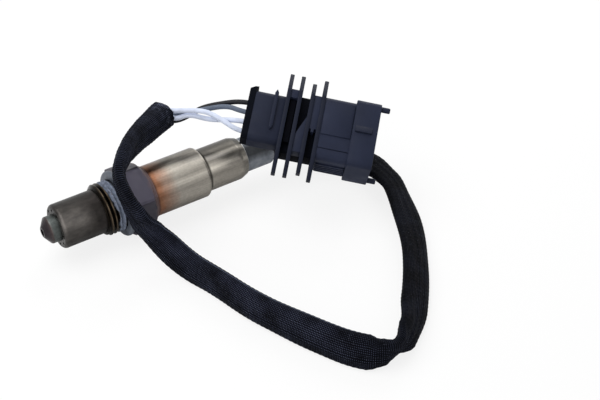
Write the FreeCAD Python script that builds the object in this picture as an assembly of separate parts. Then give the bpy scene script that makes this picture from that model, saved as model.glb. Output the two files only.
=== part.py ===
import FreeCAD, Part
import math
import os

# Automotive exhaust oxygen sensor with its loom and plug, in millimetres.
# The origin is the centre of the sealing face that seats on the exhaust boss.
# X runs from the probe tip towards the cable, Z is up, and the sensor axis lies along X.

V = FreeCAD.Vector
X_AXIS = V(1, 0, 0)

# Clearances, and how far a cutting shape or a raised feature runs past a face
fit_gap = 0.05
slide_gap = 0.1
overrun = 1.0

# Mounting thread and gasket
thread_diameter = 18.0
thread_length = 6.7
thread_chamfer = 1.0
undercut_depth = 0.8
gasket_thickness = 1.9
gasket_outer_diameter = 22.8
gasket_play = 0.2
gasket_fold_gap = 0.3
gasket_fold_bend = 0.9
gasket_edge_radius = 0.8
gasket_bore_edge_radius = 0.7

# Hexagon and the rear end of the shell
hex_across_flats = 22.0
hex_corner_diameter = 24.7
hex_length = 9.1
hex_turn = 5.0
hex_chamfer_angle = 38.0
hex_chamfer_diameter = 19.4
weld_lip_diameter = 18.6
weld_lip_length = 0.7
shell_bore_diameter = 11.3
rolled_lip_diameter = 9.2
rolled_lip_length = 1.0
rolled_lip_radius = 0.8
spigot_length = 2.3

# Protection tubes around the probe
outer_tube_diameter = 15.2
outer_tube_wall = 0.6
outer_tube_reach = 14.9
outer_tube_seat = 3.0
outer_tube_edge_radius = 1.25
gas_hole_diameter = 1.1
gas_hole_count = 10
gas_hole_circle = 12.0
inner_tube_diameter = 9.2
inner_tube_wall = 0.5
inner_flange_thickness = 0.6
dome_cylinder_length = 2.8
dome_cone_length = 2.0
dome_edge_radius = 0.6
dome_tip_radius = 0.4
dome_tip_diameter = 3.6
tip_hole_diameter = 2.4
side_hole_diameter = 1.4
side_hole_count = 6
side_hole_setback = 8.0

# Sensing element and the packing that seals it
element_width = 4.0
element_thickness = 1.3
element_tip_gap = 3.5
element_tip_bevel = 0.3
element_engagement = 7.5
front_bush_length = 6.6
powder_length = 3.2
clamp_ring_thickness = 0.8
clamp_ring_wall = 0.9

# Protective sleeve behind the hexagon
sleeve_wall = 0.5
sleeve_front_diameter = 17.8
sleeve_front_length = 20.7
sleeve_rear_diameter = 15.1
sleeve_rear_length = 16.0
sleeve_shoulder_radius = 1.0
sleeve_crimp_length = 2.6
sleeve_crimp_radius = 2.0
sleeve_mouth_diameter = 12.3

# Contacts inside the sleeve
holder_gap = 0.45
holder_overhang = 3.8
holder_length = 16.0
holder_slot_depth = 11.5
holder_slot_width = 5.6
holder_slot_height = 3.4
spring_ring_setback = 2.5
spring_ring_length = 8.0
spring_ring_wall = 0.4
clip_thickness = 0.35
clip_setback = 1.5
clip_overlap = 0.4
barrel_setback = 1.0
barrel_length = 3.2
barrel_wall = 0.3

# Leads and grommet
lead_diameter = 1.7
lead_offset = 1.6
grommet_hold = 6.9
grommet_reach = 11.0
grommet_edge_radius = 1.0

# Braided sleeve over the leads, from the grommet round to the plug
braid_diameter = 6.6
braid_lead_offset = 1.15
bend_share = 0.45
braid_route = [
    (67.2, 0.0, 0.0),
    (78.2, -4.5, -4.8),
    (88.2, -15.0, -9.05),
    (91.7, -30.5, -9.05),
    (85.7, -46.5, -9.05),
    (77.2, -62.0, -9.05),
    (66.7, -77.5, -9.05),
    (54.2, -92.0, -9.05),
    (46.2, -97.5, -9.05),
    (37.2, -99.0, -9.05),
    (29.7, -94.5, -9.05),
    (25.2, -85.0, -9.05),
    (20.2, -71.5, -9.05),
    (16.7, -58.0, -9.05),
    (12.7, -44.5, -9.05),
    (9.2, -31.0, -9.05),
    (1.7, -21.5, -0.5),
    (-3.8, -20.5, 11.0),
    (-4.3, -13.0, 20.5),
    (3.7, -5.4, 23.5),
    (11.8, 3.0, 21.8),
    (19.5, 9.6, 20.0),
    (27.6, 12.0, 18.6),
]

# Middle points of the leads between the braid and the plug, from the highest terminal down
lead_names = ["black", "grey", "white_1", "white_2"]
lead_run = 4.0
lead_middles = {
    "black": [(35.2, 12.4, 16.4), (39.6, 10.1, 18.2), (43.6, 5.4, 21.6)],
    "grey": [(35.3, 12.1, 18.6), (38.9, 8.9, 20.0), (41.8, 3.7, 21.6)],
    "white_1": [(34.8, 8.9, 16.3), (37.6, 5.4, 16.8), (39.5, 0.9, 18.8)],
    "white_2": [(34.1, 9.6, 19.3), (36.3, 5.6, 19.9), (37.2, -0.9, 19.6)],
}

# Plug housing, in its own axes: mating end towards +x, width along y, latch side up
plug_reach = 81.7
plug_offset = 33.05
plug_height = 11.2
plug_origin = V(plug_reach, -plug_offset, plug_height)
plug_turn = FreeCAD.Rotation(-40.1, 9.6, 28.5)
collar_width = 24.6
collar_height = 15.8
collar_length = 8.4
collar_edge_radius = 2.2
front_body_width = 23.2
front_body_height = 12.8
front_body_length = 10.5
mid_body_width = 21.8
mid_body_bottom = -3.2
mid_body_top = 3.4
mid_body_length = 13.4
rear_body_width = 18.6
rear_body_bottom = -2.2
rear_body_top = 5.6
rear_body_length = 10.0
rear_edge_radius = 1.4
socket_depth = 16.5
socket_width = 19.0
socket_height = 10.4
socket_mouth_width = 21.4
socket_mouth_height = 12.4
socket_mouth_depth = 7.0
socket_edge_radius = 1.0
rim_peg_length = 3.0
rim_peg_diameter = 1.9
rim_peg_inset = 1.8
latch_length = 5.7
latch_width = 2.6
latch_height = 0.8
latch_setback = 1.9
latch_edge = -0.3
panel_height = 0.4
panel_edge = -2.8
groove_edge = -7.9
groove_width = 0.35
groove_depth = 0.3
grip_groove_count = 5
grip_groove_pitch = 1.2

# Fins across the plug
fin_thickness = 1.4
fin_top = 6.7
fin_spacing = [0.7, 4.5, 8.7, 12.6]
fin_reaches = [(19.0, 18.2), (19.0, 18.2), (17.3, 16.2), (19.0, 18.2)]
fin_tip_bottom = 1.2
fin_tip_top = 4.0
fin_root_bottom = -2.0
fin_root_reach = 11.2
web_drop = 0.5
web_reach = 11.6
web_wall = 0.6
slant_near = -5.0
slant_far = 3.0
plate_edge = -1.6
lug_width = 1.0
lug_reach = 1.2
rib_setback = 3.1
rib_width = 1.3
rib_height = 1.1
rib_near = -4.1
rib_far = 10.2
rib_point_length = 1.3

# Terminals, their seals and lock
terminal_pitch = 3.6
terminal_height = 1.7
terminal_rear = 9.2
pin_diameter = 1.0
pin_recess = 6.5
pin_point_length = 1.0
terminal_setback = 0.6
crimp_length = 3.2
seal_length = 4.0
seal_diameter = 3.2
seal_groove = 0.25
seal_rib_count = 3
lock_thickness = 1.9
lock_width = 15.6
lock_height = 2.4
lock_notch_width = 0.8
lock_notch_height = 1.2
cover_thickness = 2.2
cover_inset = 0.3
cover_hole_diameter = 2.1
hook_reach = 1.1
hook_length = 2.8
hook_thickness = 1.6

# Places along the sensor axis
thread_radius = thread_diameter / 2
shell_front = -thread_length
hex_front = gasket_thickness
hex_rear = hex_front + hex_length
hex_corner_radius = hex_corner_diameter / 2
lip_rear = hex_rear + weld_lip_length
outer_tube_radius = outer_tube_diameter / 2
outer_tube_rear = shell_front + outer_tube_seat
outer_tube_front = shell_front - outer_tube_reach
inner_tube_radius = inner_tube_diameter / 2
inner_flange_rear = outer_tube_rear + inner_flange_thickness
dome_front = outer_tube_front - dome_cylinder_length
dome_tip = dome_front - dome_cone_length
shell_bore_radius = shell_bore_diameter / 2
bush_radius = shell_bore_radius - fit_gap
front_bush_rear = inner_flange_rear + front_bush_length
powder_rear = front_bush_rear + powder_length
sleeve_front_radius = sleeve_front_diameter / 2
sleeve_rear_radius = sleeve_rear_diameter / 2
sleeve_step = lip_rear + sleeve_front_length
sleeve_rear = sleeve_step + sleeve_rear_length
sleeve_crimp = sleeve_rear - sleeve_crimp_length
spigot_radius = sleeve_front_radius - sleeve_wall - fit_gap
clamp_rear = lip_rear + spigot_length
clamp_front = clamp_rear - clamp_ring_thickness
shell_rear = clamp_rear + rolled_lip_length
holder_radius = sleeve_rear_radius - sleeve_wall - holder_gap
holder_rear = sleeve_step + holder_overhang
holder_start = holder_rear - holder_length
element_end = holder_start + element_engagement
spring_ring_start = holder_start + spring_ring_setback
clip_start = holder_start + clip_setback
lead_start = holder_start + holder_slot_depth + barrel_setback
sleeve_crimp_inside = sleeve_crimp - sleeve_wall / 2
grommet_start = sleeve_crimp - grommet_hold
lead_radius = lead_diameter / 2
grommet_rear = sleeve_rear + grommet_reach
barrel_radius = lead_radius + barrel_wall
barrel_bore_radius = barrel_radius + fit_gap
clip_drop = lead_offset - element_thickness / 2
clip_half = math.sqrt(barrel_bore_radius ** 2 - clip_drop ** 2) - fit_gap
terminal_half = barrel_bore_radius - slide_gap
braid_radius = braid_diameter / 2

# Places along the plug
front_body_rear = -collar_length - front_body_length
mid_body_rear = front_body_rear - mid_body_length
rear_body_rear = mid_body_rear - rear_body_length
cover_rear = rear_body_rear - cover_thickness
terminal_places = [terminal_pitch * (1.5 - index) for index in range(len(lead_names))]
fin_places = [front_body_rear - offset for offset in reversed(fin_spacing)]
seal_front = rear_body_rear + seal_length
terminal_end = rear_body_rear + terminal_rear
lead_end = terminal_end - slide_gap
crimp_rear = terminal_end - crimp_length


def rounded_corner(before, at, after, radius):
    """The two tangent points and the middle point of the arc that rounds a corner."""
    back = (before - at).normalize()
    ahead = (after - at).normalize()
    half = back.getAngle(ahead) / 2
    middle = (back + ahead).normalize()
    reach = radius / math.tan(half)
    centre = at + middle * (radius / math.sin(half))
    return at + back * reach, centre - middle * radius, at + ahead * reach


def rounded_edges(points, radii, closed):
    """Straight runs joined by tangent arcs; a radius of 0 leaves a sharp corner."""
    count = len(points)
    corners = []
    for index, point in enumerate(points):
        free_end = not closed and index in (0, count - 1)
        if free_end or radii[index] == 0:
            corners.append((point, None, point))
        else:
            before = points[index - 1]
            after = points[(index + 1) % count]
            corners.append(rounded_corner(before, point, after, radii[index]))
    edges = []
    for index, (start, middle, end) in enumerate(corners):
        if middle is not None:
            edges.append(Part.Arc(start, middle, end).toShape())
        last = index == count - 1
        if last and not closed:
            break
        following = corners[(index + 1) % count][0]
        if (following - end).Length > 1e-6:
            edges.append(Part.LineSegment(end, following).toShape())
    return edges


def turned(outline):
    """Revolve (x, radius) or (x, radius, corner radius) points about the sensor axis."""
    points = [V(entry[0], 0, entry[1]) for entry in outline]
    radii = [entry[2] if len(entry) > 2 else 0 for entry in outline]
    wire = Part.Wire(rounded_edges(points, radii, True))
    return Part.Face(wire).revolve(V(0, 0, 0), X_AXIS, 360)


def rod(radius, start, end, y=0, z=0):
    """Cylinder along X."""
    return Part.makeCylinder(radius, end - start, V(start, y, z), X_AXIS)


def block(x_range, y_range, z_range):
    """Box between the given limits."""
    size = [high - low for low, high in (x_range, y_range, z_range)]
    return Part.makeBox(*size, V(x_range[0], y_range[0], z_range[0]))


def round_block(x_range, y_range, z_range, radius):
    """Box whose four edges along X are rounded."""
    body = block(x_range, y_range, z_range)
    along = [edge for edge in body.Edges if abs(edge.tangentAt(edge.FirstParameter).x) > 0.9]
    return body.makeFillet(radius, along)


def slab(points, low, high):
    """Polygon in x and y, raised from one height to another."""
    corners = [V(x, y, low) for x, y in points]
    wire = Part.makePolygon(corners + [corners[0]])
    return Part.Face(wire).extrude(V(0, 0, high - low))


def joined(shapes):
    """One solid from shapes that overlap or touch."""
    return shapes[0].fuse(shapes[1:]).removeSplitter()


def cord_path(points):
    """Tangent straight runs and arcs; each arc takes its share of the shorter run beside it."""
    radii = [0]
    for before, at, after in zip(points, points[1:], points[2:]):
        turn = (at - before).getAngle(after - at)
        run = min((at - before).Length, (after - at).Length)
        radii.append(bend_share * run / math.tan(turn / 2))
    radii.append(0)
    return Part.Wire(rounded_edges(points, radii, False)), radii[1:-1]


def tube_along(name, points, radius):
    """Round solid cord along a route, with its bend radii printed."""
    path, radii = cord_path(points)
    start = (points[1] - points[0]).normalize()
    ring = Part.Wire(Part.Circle(points[0], start, radius).toShape())
    cord = path.makePipeShell([ring], True, False)
    print(name, "length", round(path.Length, 1), "bend radii", [round(value, 1) for value in radii])
    print(name, "volume share", round(cord.Volume / (math.pi * radius ** 2 * path.Length), 4))
    return cord


def gasket_ring():
    """Folded crush washer, open towards the thread."""
    bore = thread_radius - undercut_depth + gasket_play
    outer = gasket_outer_diameter / 2
    fold = (gasket_thickness - gasket_fold_gap) / 2
    fold_reach = outer - gasket_fold_bend
    return turned([
        (0, bore, gasket_bore_edge_radius), (0, outer, gasket_edge_radius),
        (gasket_thickness, outer, gasket_edge_radius),
        (gasket_thickness, bore, gasket_bore_edge_radius),
        (gasket_thickness - fold, bore), (gasket_thickness - fold, fold_reach),
        (fold, fold_reach), (fold, bore),
    ])


def threaded_hex_shell():
    """Shell: thread, gasket seat, hexagon, weld lip and rolled rear end."""
    undercut = thread_radius - undercut_depth
    core = turned([
        (shell_front, 0), (shell_front, thread_radius - thread_chamfer),
        (shell_front + thread_chamfer, thread_radius), (0, thread_radius), (0, undercut),
        (hex_front, undercut), (hex_rear, undercut), (hex_rear, weld_lip_diameter / 2),
        (lip_rear, weld_lip_diameter / 2), (lip_rear, spigot_radius),
        (shell_rear, spigot_radius, rolled_lip_radius), (shell_rear, 0),
    ])
    corners = []
    for index in range(6):
        angle = math.radians(60 * index + 90 + hex_turn)
        reach = hex_across_flats / math.sqrt(3)
        corners.append(V(hex_front, reach * math.cos(angle), reach * math.sin(angle)))
    prism = Part.Face(Part.makePolygon(corners + [corners[0]])).extrude(V(hex_length, 0, 0))
    slope = (hex_corner_radius - hex_chamfer_diameter / 2) * math.tan(math.radians(hex_chamfer_angle))
    envelope = turned([
        (hex_front, 0), (hex_front, hex_corner_radius),
        (hex_rear - slope, hex_corner_radius), (hex_rear, hex_chamfer_diameter / 2), (hex_rear, 0),
    ])
    body = joined([core, prism.common(envelope)])
    tube_seat = rod(outer_tube_radius + fit_gap, shell_front - overrun, inner_flange_rear)
    bore = rod(shell_bore_radius, shell_front - overrun, clamp_rear)
    lip = rod(rolled_lip_diameter / 2, shell_front - overrun, shell_rear + overrun)
    return body.cut([tube_seat, bore, lip])


def outer_protection_tube():
    """Outer tube: flat front with a ring of gas holes and an opening for the inner tube."""
    opening = inner_tube_radius + fit_gap
    inside = outer_tube_radius - outer_tube_wall
    inner_edge = outer_tube_edge_radius - outer_tube_wall
    tube = turned([
        (outer_tube_rear, outer_tube_radius),
        (outer_tube_front, outer_tube_radius, outer_tube_edge_radius),
        (outer_tube_front, opening), (outer_tube_front + outer_tube_wall, opening),
        (outer_tube_front + outer_tube_wall, inside, inner_edge), (outer_tube_rear, inside),
    ])
    holes = []
    for index in range(gas_hole_count):
        angle = 2 * math.pi * index / gas_hole_count
        y = gas_hole_circle / 2 * math.cos(angle)
        z = gas_hole_circle / 2 * math.sin(angle)
        end = outer_tube_front + outer_tube_wall + overrun
        holes.append(rod(gas_hole_diameter / 2, outer_tube_front - overrun, end, y, z))
    return tube.cut(holes)


def inner_protection_tube():
    """Inner tube: flange held under the outer tube, and a blunt dome that stands out in front."""
    inside = inner_tube_radius - inner_tube_wall
    tip = dome_tip_diameter / 2
    hole = tip_hole_diameter / 2
    tube = turned([
        (inner_flange_rear, outer_tube_radius), (outer_tube_rear, outer_tube_radius),
        (outer_tube_rear, inner_tube_radius), (dome_front, inner_tube_radius, dome_edge_radius),
        (dome_tip, tip, dome_tip_radius), (dome_tip, hole), (dome_tip + inner_tube_wall, hole),
        (dome_tip + inner_tube_wall, tip), (dome_front + inner_tube_wall / 2, inside),
        (inner_flange_rear, inside),
    ])
    holes = []
    for index in range(side_hole_count):
        angle = 2 * math.pi * index / side_hole_count
        outward = V(0, math.cos(angle), math.sin(angle))
        start = V(outer_tube_front + side_hole_setback, 0, 0)
        hole_rod = Part.makeCylinder(side_hole_diameter / 2, inner_tube_diameter, start, outward)
        holes.append(hole_rod)
    return tube.cut(holes)


def element_slot(start, end, gap):
    """Space of the flat element, widened by a gap."""
    width = element_width / 2 + gap
    height = element_thickness / 2 + gap
    return block((start, end), (-width, width), (-height, height))


def sensing_element():
    """Flat ceramic strip with a bevelled tip."""
    tip = dome_tip + element_tip_gap
    strip = element_slot(tip, element_end, 0)
    tip_edges = [edge for edge in strip.Edges if edge.BoundBox.XMax < tip + element_tip_bevel]
    return strip.makeChamfer(element_tip_bevel, tip_edges)


def packed_disc(start, end, radius, gap):
    """Disc of packing with the slot of the element."""
    return rod(radius, start, end).cut(element_slot(start - overrun, end + overrun, gap))


def clamp_ring():
    """Ring under the rolled end of the shell."""
    outer = rod(bush_radius, clamp_front, clamp_rear)
    inner = rod(bush_radius - clamp_ring_wall, clamp_front - overrun, clamp_rear + overrun)
    return outer.cut(inner)


def protective_sleeve():
    """Deep-drawn stepped sleeve, closed in round the grommet at its rear end."""
    front_inside = sleeve_front_radius - sleeve_wall
    rear_inside = sleeve_rear_radius - sleeve_wall
    mouth = sleeve_mouth_diameter / 2
    return turned([
        (lip_rear, sleeve_front_radius), (sleeve_step, sleeve_front_radius, sleeve_shoulder_radius),
        (sleeve_step, sleeve_rear_radius), (sleeve_crimp, sleeve_rear_radius, sleeve_crimp_radius),
        (sleeve_rear, mouth + sleeve_wall, sleeve_wall / 2), (sleeve_rear, mouth),
        (sleeve_rear - sleeve_wall, mouth), (sleeve_crimp_inside, rear_inside),
        (sleeve_step - sleeve_wall, rear_inside),
        (sleeve_step - sleeve_wall, front_inside, sleeve_shoulder_radius - sleeve_wall),
        (lip_rear, front_inside),
    ])


def lead_centres():
    """Places of the four leads across the sensor, in the order of their names."""
    return [(lead_offset, lead_offset), (lead_offset, -lead_offset),
            (-lead_offset, lead_offset), (-lead_offset, -lead_offset)]


def contact_holder():
    """Ceramic holder with a slot for the element and a bore for each crimp."""
    body = rod(holder_radius, holder_start, holder_rear)
    slot_rear = holder_start + holder_slot_depth
    half_width = holder_slot_width / 2
    half_height = holder_slot_height / 2
    slot = block((holder_start - overrun, slot_rear), (-half_width, half_width), (-half_height, half_height))
    bores = []
    for y, z in lead_centres():
        bores.append(rod(barrel_bore_radius, slot_rear - overrun, holder_rear + overrun, y, z))
    return body.cut([slot] + bores)


def contact_spring_ring():
    """Pressed ring that centres the holder in the sleeve."""
    inner = holder_radius + fit_gap
    outer = sleeve_front_radius - sleeve_wall - fit_gap
    rear = spring_ring_start + spring_ring_length
    wall = spring_ring_wall
    return turned([
        (spring_ring_start, inner), (rear, inner), (rear, outer), (rear - wall, outer),
        (rear - wall, inner + wall), (spring_ring_start + wall, inner + wall),
        (spring_ring_start + wall, outer), (spring_ring_start, outer),
    ])


def contact_clip(y, z):
    """Strip that lies on the element, with a crimp barrel round its lead."""
    side = math.copysign(1, z)
    near = side * element_thickness / 2
    far = near + side * clip_thickness
    sides = (y - clip_half, y + clip_half)
    strip = block((clip_start, lead_start + clip_overlap), sides, sorted((near, far)))
    barrel = rod(barrel_radius, lead_start, lead_start + barrel_length, y, z)
    bore = rod(lead_radius, lead_start, lead_start + barrel_length + overrun, y, z)
    return joined([strip, barrel]).cut(bore)


def sensor_lead(y, z):
    """Lead from its crimp to the rear face of the grommet."""
    return rod(lead_radius, lead_start, grommet_rear, y, z)


def grommet():
    """Rubber grommet with a bore for each lead."""
    wide = sleeve_rear_radius - sleeve_wall - fit_gap
    narrow = sleeve_mouth_diameter / 2 - fit_gap
    body = turned([
        (grommet_start, 0), (grommet_start, wide), (sleeve_crimp_inside - fit_gap, wide),
        (sleeve_rear - sleeve_wall - fit_gap, narrow), (grommet_rear, narrow, grommet_edge_radius),
        (grommet_rear, 0),
    ])
    bores = []
    for y, z in lead_centres():
        bores.append(rod(lead_radius, grommet_start - overrun, grommet_rear + overrun, y, z))
    return body.cut(bores)


def braid_points():
    """Route of the braided sleeve from the grommet to its open end."""
    return [V(grommet_rear, 0, 0)] + [V(*point) for point in braid_route]


def plug_point(x, y, z):
    """Point given in the axes of the plug."""
    return plug_origin + plug_turn.multVec(V(x, y, z))


def plug_lead_points(name):
    """Route of one lead from the end of the braid to its terminal."""
    index = lead_names.index(name)
    route = braid_points()
    ahead = (route[-1] - route[-2]).normalize()
    across = ahead.cross(V(0, 0, 1)).normalize()
    above = across.cross(ahead)
    side = 1 if name.startswith("white") else -1
    rise = 1 if name in ("grey", "white_2") else -1
    start = route[-1] + across * (side * braid_lead_offset) + above * (rise * braid_lead_offset)
    middles = [V(*point) for point in lead_middles[name]]
    y = terminal_places[index]
    outside = plug_point(cover_rear - 1.5 * lead_run, y, terminal_height)
    inside = plug_point(lead_end, y, terminal_height)
    return [start, start + ahead * lead_run] + middles + [outside, inside]


def fin(place, near_reach, far_reach):
    """One fin: a plate across the plug whose fingers stand out on both sides."""
    outline = [
        (-near_reach, fin_tip_bottom), (-near_reach, fin_tip_top), (-fin_root_reach, fin_top),
        (fin_root_reach, fin_top), (far_reach, fin_tip_top), (far_reach, fin_tip_bottom),
        (fin_root_reach, fin_root_bottom), (-fin_root_reach, fin_root_bottom),
    ]
    corners = [V(place - fin_thickness / 2, y, z) for y, z in outline]
    return Part.Face(Part.makePolygon(corners + [corners[0]])).extrude(V(fin_thickness, 0, 0))


def fin_webs():
    """Walls between the fins: a bridge, a slanting wall and a plate with two lugs."""
    gaps = []
    for left, right in zip(fin_places, fin_places[1:]):
        gaps.append((left + fin_thickness / 2, right - fin_thickness / 2))
    half = mid_body_width / 2
    low = mid_body_top - overrun
    top = fin_top - web_drop
    bridge = block(gaps[0], (lock_width / 2 + web_wall, web_reach), (mid_body_bottom + overrun, top))
    left, right = gaps[1]
    slant = slab([(left, -half), (right, -half), (right, slant_far), (left, slant_near)], low, top)
    plate = block(gaps[2], (plate_edge, half), (low, top))
    middle = sum(gaps[2]) / 2
    lug_sides = (middle - lug_width / 2, middle + lug_width / 2)
    lug = block(lug_sides, (plate_edge - lug_reach, plate_edge + overrun), (low, top))
    return [bridge, slant, plate, lug]


def pointed_rib():
    """Low rib across the rear of the plug, with pointed ends."""
    place = mid_body_rear - rib_setback
    half = rib_width / 2
    outline = [
        (place, rib_near), (place - half, rib_near + rib_point_length),
        (place - half, rib_far - rib_point_length), (place, rib_far),
        (place + half, rib_far - rib_point_length), (place + half, rib_near + rib_point_length),
    ]
    return slab(outline, rear_body_top - overrun, rear_body_top + rib_height)


def latch_wedge():
    """Ramp on the collar that the mating half locks behind."""
    rear = -latch_setback - latch_length
    top = collar_height / 2
    far = latch_edge + latch_width
    corners = [
        V(rear, latch_edge, top - overrun), V(rear, far, top - overrun),
        V(rear, far, top), V(rear, latch_edge, top + latch_height),
    ]
    return Part.Face(Part.makePolygon(corners + [corners[0]])).extrude(V(latch_length, 0, 0))


def rim_pegs():
    """Two pegs on opposite corners of the collar's rim."""
    y = collar_width / 2 - rim_peg_inset
    z = collar_height / 2 - rim_peg_inset
    peg = rod(rim_peg_diameter / 2, -overrun, rim_peg_length)
    return [peg.translated(V(0, y, z)), peg.translated(V(0, -y, -z))]


def connector_housing():
    """Plug housing in its own axes: collar, bodies, fins and latch, hollowed for the terminals."""
    half_collar = collar_width / 2
    half_height = collar_height / 2
    half_front = front_body_width / 2
    front_height = front_body_height / 2
    half_rear = rear_body_width / 2
    half_mid = mid_body_width / 2
    collar = round_block((-collar_length, 0), (-half_collar, half_collar),
                         (-half_height, half_height), collar_edge_radius)
    front = round_block((front_body_rear, -collar_length), (-half_front, half_front),
                        (-front_height, front_height), collar_edge_radius)
    middle = block((mid_body_rear, front_body_rear), (-half_mid, half_mid), (mid_body_bottom, mid_body_top))
    rear = round_block((rear_body_rear, mid_body_rear), (-half_rear, half_rear),
                       (rear_body_bottom, rear_body_top), rear_edge_radius)
    panel = block((front_body_rear, -collar_length), (panel_edge, half_front - collar_edge_radius),
                  (front_height - overrun, front_height + panel_height))
    fins = [fin(place, *reaches) for place, reaches in zip(fin_places, fin_reaches)]
    pieces = [collar, front, middle, rear, panel, latch_wedge(), pointed_rib()]
    body = joined(pieces + fins + fin_webs() + rim_pegs())

    socket = round_block((-socket_depth, overrun), (-socket_width / 2, socket_width / 2),
                         (-socket_height / 2, socket_height / 2), socket_edge_radius)
    mouth = round_block((-socket_mouth_depth, overrun), (-socket_mouth_width / 2, socket_mouth_width / 2),
                        (-socket_mouth_height / 2, socket_mouth_height / 2), socket_edge_radius)
    cuts = [socket, mouth, panel_groove(), lock_slot()] + grip_grooves()
    cell_heights = (terminal_height - barrel_bore_radius, terminal_height + barrel_bore_radius)
    cell_ends = (seal_front - overrun, -socket_depth + overrun)
    seal_bore = seal_diameter / 2 + fit_gap
    for y in terminal_places:
        cell_sides = (y - barrel_bore_radius, y + barrel_bore_radius)
        cuts.append(block(cell_ends, cell_sides, cell_heights))
        cuts.append(rod(seal_bore, rear_body_rear - overrun, seal_front, y, terminal_height))
    return body.cut(cuts)


def panel_groove():
    """Line along the top of the front body."""
    top = front_body_height / 2
    return block((front_body_rear, -collar_length), (groove_edge, groove_edge + groove_width),
                 (top - groove_depth, top + overrun))


def grip_grooves():
    """Fine grooves along the near side of the front body."""
    side = -front_body_width / 2
    grooves = []
    for index in range(grip_groove_count):
        z = grip_groove_pitch * (index - (grip_groove_count - 1) / 2)
        grooves.append(block((front_body_rear, -collar_length), (side - overrun, side + groove_depth),
                             (z - groove_width / 2, z + groove_width / 2)))
    return grooves


def lock_gap():
    """Limits along x of the slot for the terminal lock, midway between the first two fins."""
    middle = (fin_places[0] + fin_places[1]) / 2
    return middle - lock_thickness / 2, middle + lock_thickness / 2


def lock_slot():
    """Slot above the terminals, between the first two fins."""
    half = lock_width / 2 + fit_gap
    near, far = lock_gap()
    bottom = terminal_height + terminal_half + fit_gap
    return block((near - fit_gap, far + fit_gap), (-half, half), (bottom, fin_top + overrun))


def terminal_lock():
    """Comb that drops into the slot over the terminals."""
    bottom = terminal_height + terminal_half + 2 * fit_gap
    half = lock_width / 2
    body = block(lock_gap(), (-half, half), (bottom, bottom + lock_height))
    near, far = lock_gap()
    heights = (bottom - overrun, bottom + lock_notch_height)
    notches = []
    for y in terminal_places[:-1]:
        left = y - terminal_pitch / 2 - lock_notch_width / 2
        notches.append(block((near - overrun, far + overrun), (left, left + lock_notch_width), heights))
    return body.cut(notches)


def terminal_pin(y):
    """Terminal: contact pin, square body and crimp barrel."""
    z_range = (terminal_height - terminal_half, terminal_height + terminal_half)
    body_front = -socket_depth - terminal_setback
    pin_front = -pin_recess - pin_point_length
    y_range = (y - terminal_half, y + terminal_half)
    body = block((terminal_end, body_front), y_range, z_range)
    barrel = rod(barrel_radius, crimp_rear, terminal_end, y, terminal_height)
    bore = rod(lead_radius, crimp_rear - overrun, lead_end, y, terminal_height)
    pin = rod(pin_diameter / 2, body_front - overrun, pin_front, y, terminal_height)
    point_base = V(pin_front, y, terminal_height)
    point = Part.makeCone(pin_diameter / 2, pin_diameter / 4, pin_point_length, point_base, X_AXIS)
    return joined([body, barrel, pin, point]).cut(bore)


def wire_seal(y):
    """Ribbed rubber seal round one lead."""
    outer = seal_diameter / 2
    inner = outer - seal_groove
    bands = 2 * seal_rib_count - 1
    step = seal_length / bands
    start = rear_body_rear
    outline = [(start, lead_radius)]
    for index in range(bands):
        radius = outer if index % 2 == 0 else inner
        outline.append((start + index * step, radius))
        outline.append((start + (index + 1) * step, radius))
    outline.append((start + seal_length, lead_radius))
    return turned(outline).translated(V(0, y, terminal_height))


def rear_cover():
    """Cover behind the seals, with a hole for each lead and a hooked lip on one side."""
    half = rear_body_width / 2 - cover_inset
    z_range = (rear_body_bottom + cover_inset, rear_body_top - cover_inset)
    plate = round_block((cover_rear, rear_body_rear), (-half, half), z_range, rear_edge_radius)
    root = half - rear_edge_radius
    edge = rear_body_width / 2
    tip = edge + hook_reach
    hook = slab([
        (cover_rear, root), (cover_rear, edge), (cover_rear + hook_thickness, tip - slide_gap),
        (cover_rear + hook_length, tip), (rear_body_rear, edge + slide_gap), (rear_body_rear, root),
    ], z_range[0] + rear_edge_radius, z_range[1])
    radius = cover_hole_diameter / 2
    holes = []
    for y in terminal_places:
        holes.append(rod(radius, cover_rear - overrun, rear_body_rear + overrun, y, terminal_height))
    return joined([plate, hook]).cut(holes)


def placed(shape):
    """A piece of the plug, moved to where the plug lies."""
    shape.Placement = FreeCAD.Placement(plug_origin, plug_turn).multiply(shape.Placement)
    return shape


def build_parts():
    """Every piece by name, each in its place."""
    parts = {
        "outer_protection_tube": outer_protection_tube(),
        "inner_protection_tube": inner_protection_tube(),
        "threaded_hex_shell": threaded_hex_shell(),
        "gasket_ring": gasket_ring(),
        "sensing_element": sensing_element(),
        "front_ceramic_bush": packed_disc(inner_flange_rear, front_bush_rear, bush_radius, fit_gap),
        "powder_seal": packed_disc(front_bush_rear, powder_rear, shell_bore_radius, 0),
        "rear_ceramic_bush": packed_disc(powder_rear, clamp_front, bush_radius, fit_gap),
        "clamp_ring": clamp_ring(),
        "protective_sleeve": protective_sleeve(),
        "contact_holder": contact_holder(),
        "contact_spring_ring": contact_spring_ring(),
        "grommet": grommet(),
        "braided_sleeve": tube_along("braided_sleeve", braid_points(), braid_radius),
        "connector_housing": placed(connector_housing()),
        "rear_cover": placed(rear_cover()),
        "terminal_lock": placed(terminal_lock()),
    }
    for index, (name, centre) in enumerate(zip(lead_names, lead_centres())):
        number = index + 1
        parts[f"contact_clip_{number}"] = contact_clip(*centre)
        parts[f"sensor_lead_{name}"] = sensor_lead(*centre)
        lead = f"plug_lead_{name}"
        parts[lead] = tube_along(lead, plug_lead_points(name), lead_radius)
        parts[f"terminal_pin_{number}"] = placed(terminal_pin(terminal_places[index]))
        parts[f"wire_seal_{number}"] = placed(wire_seal(terminal_places[index]))
    return parts


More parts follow.
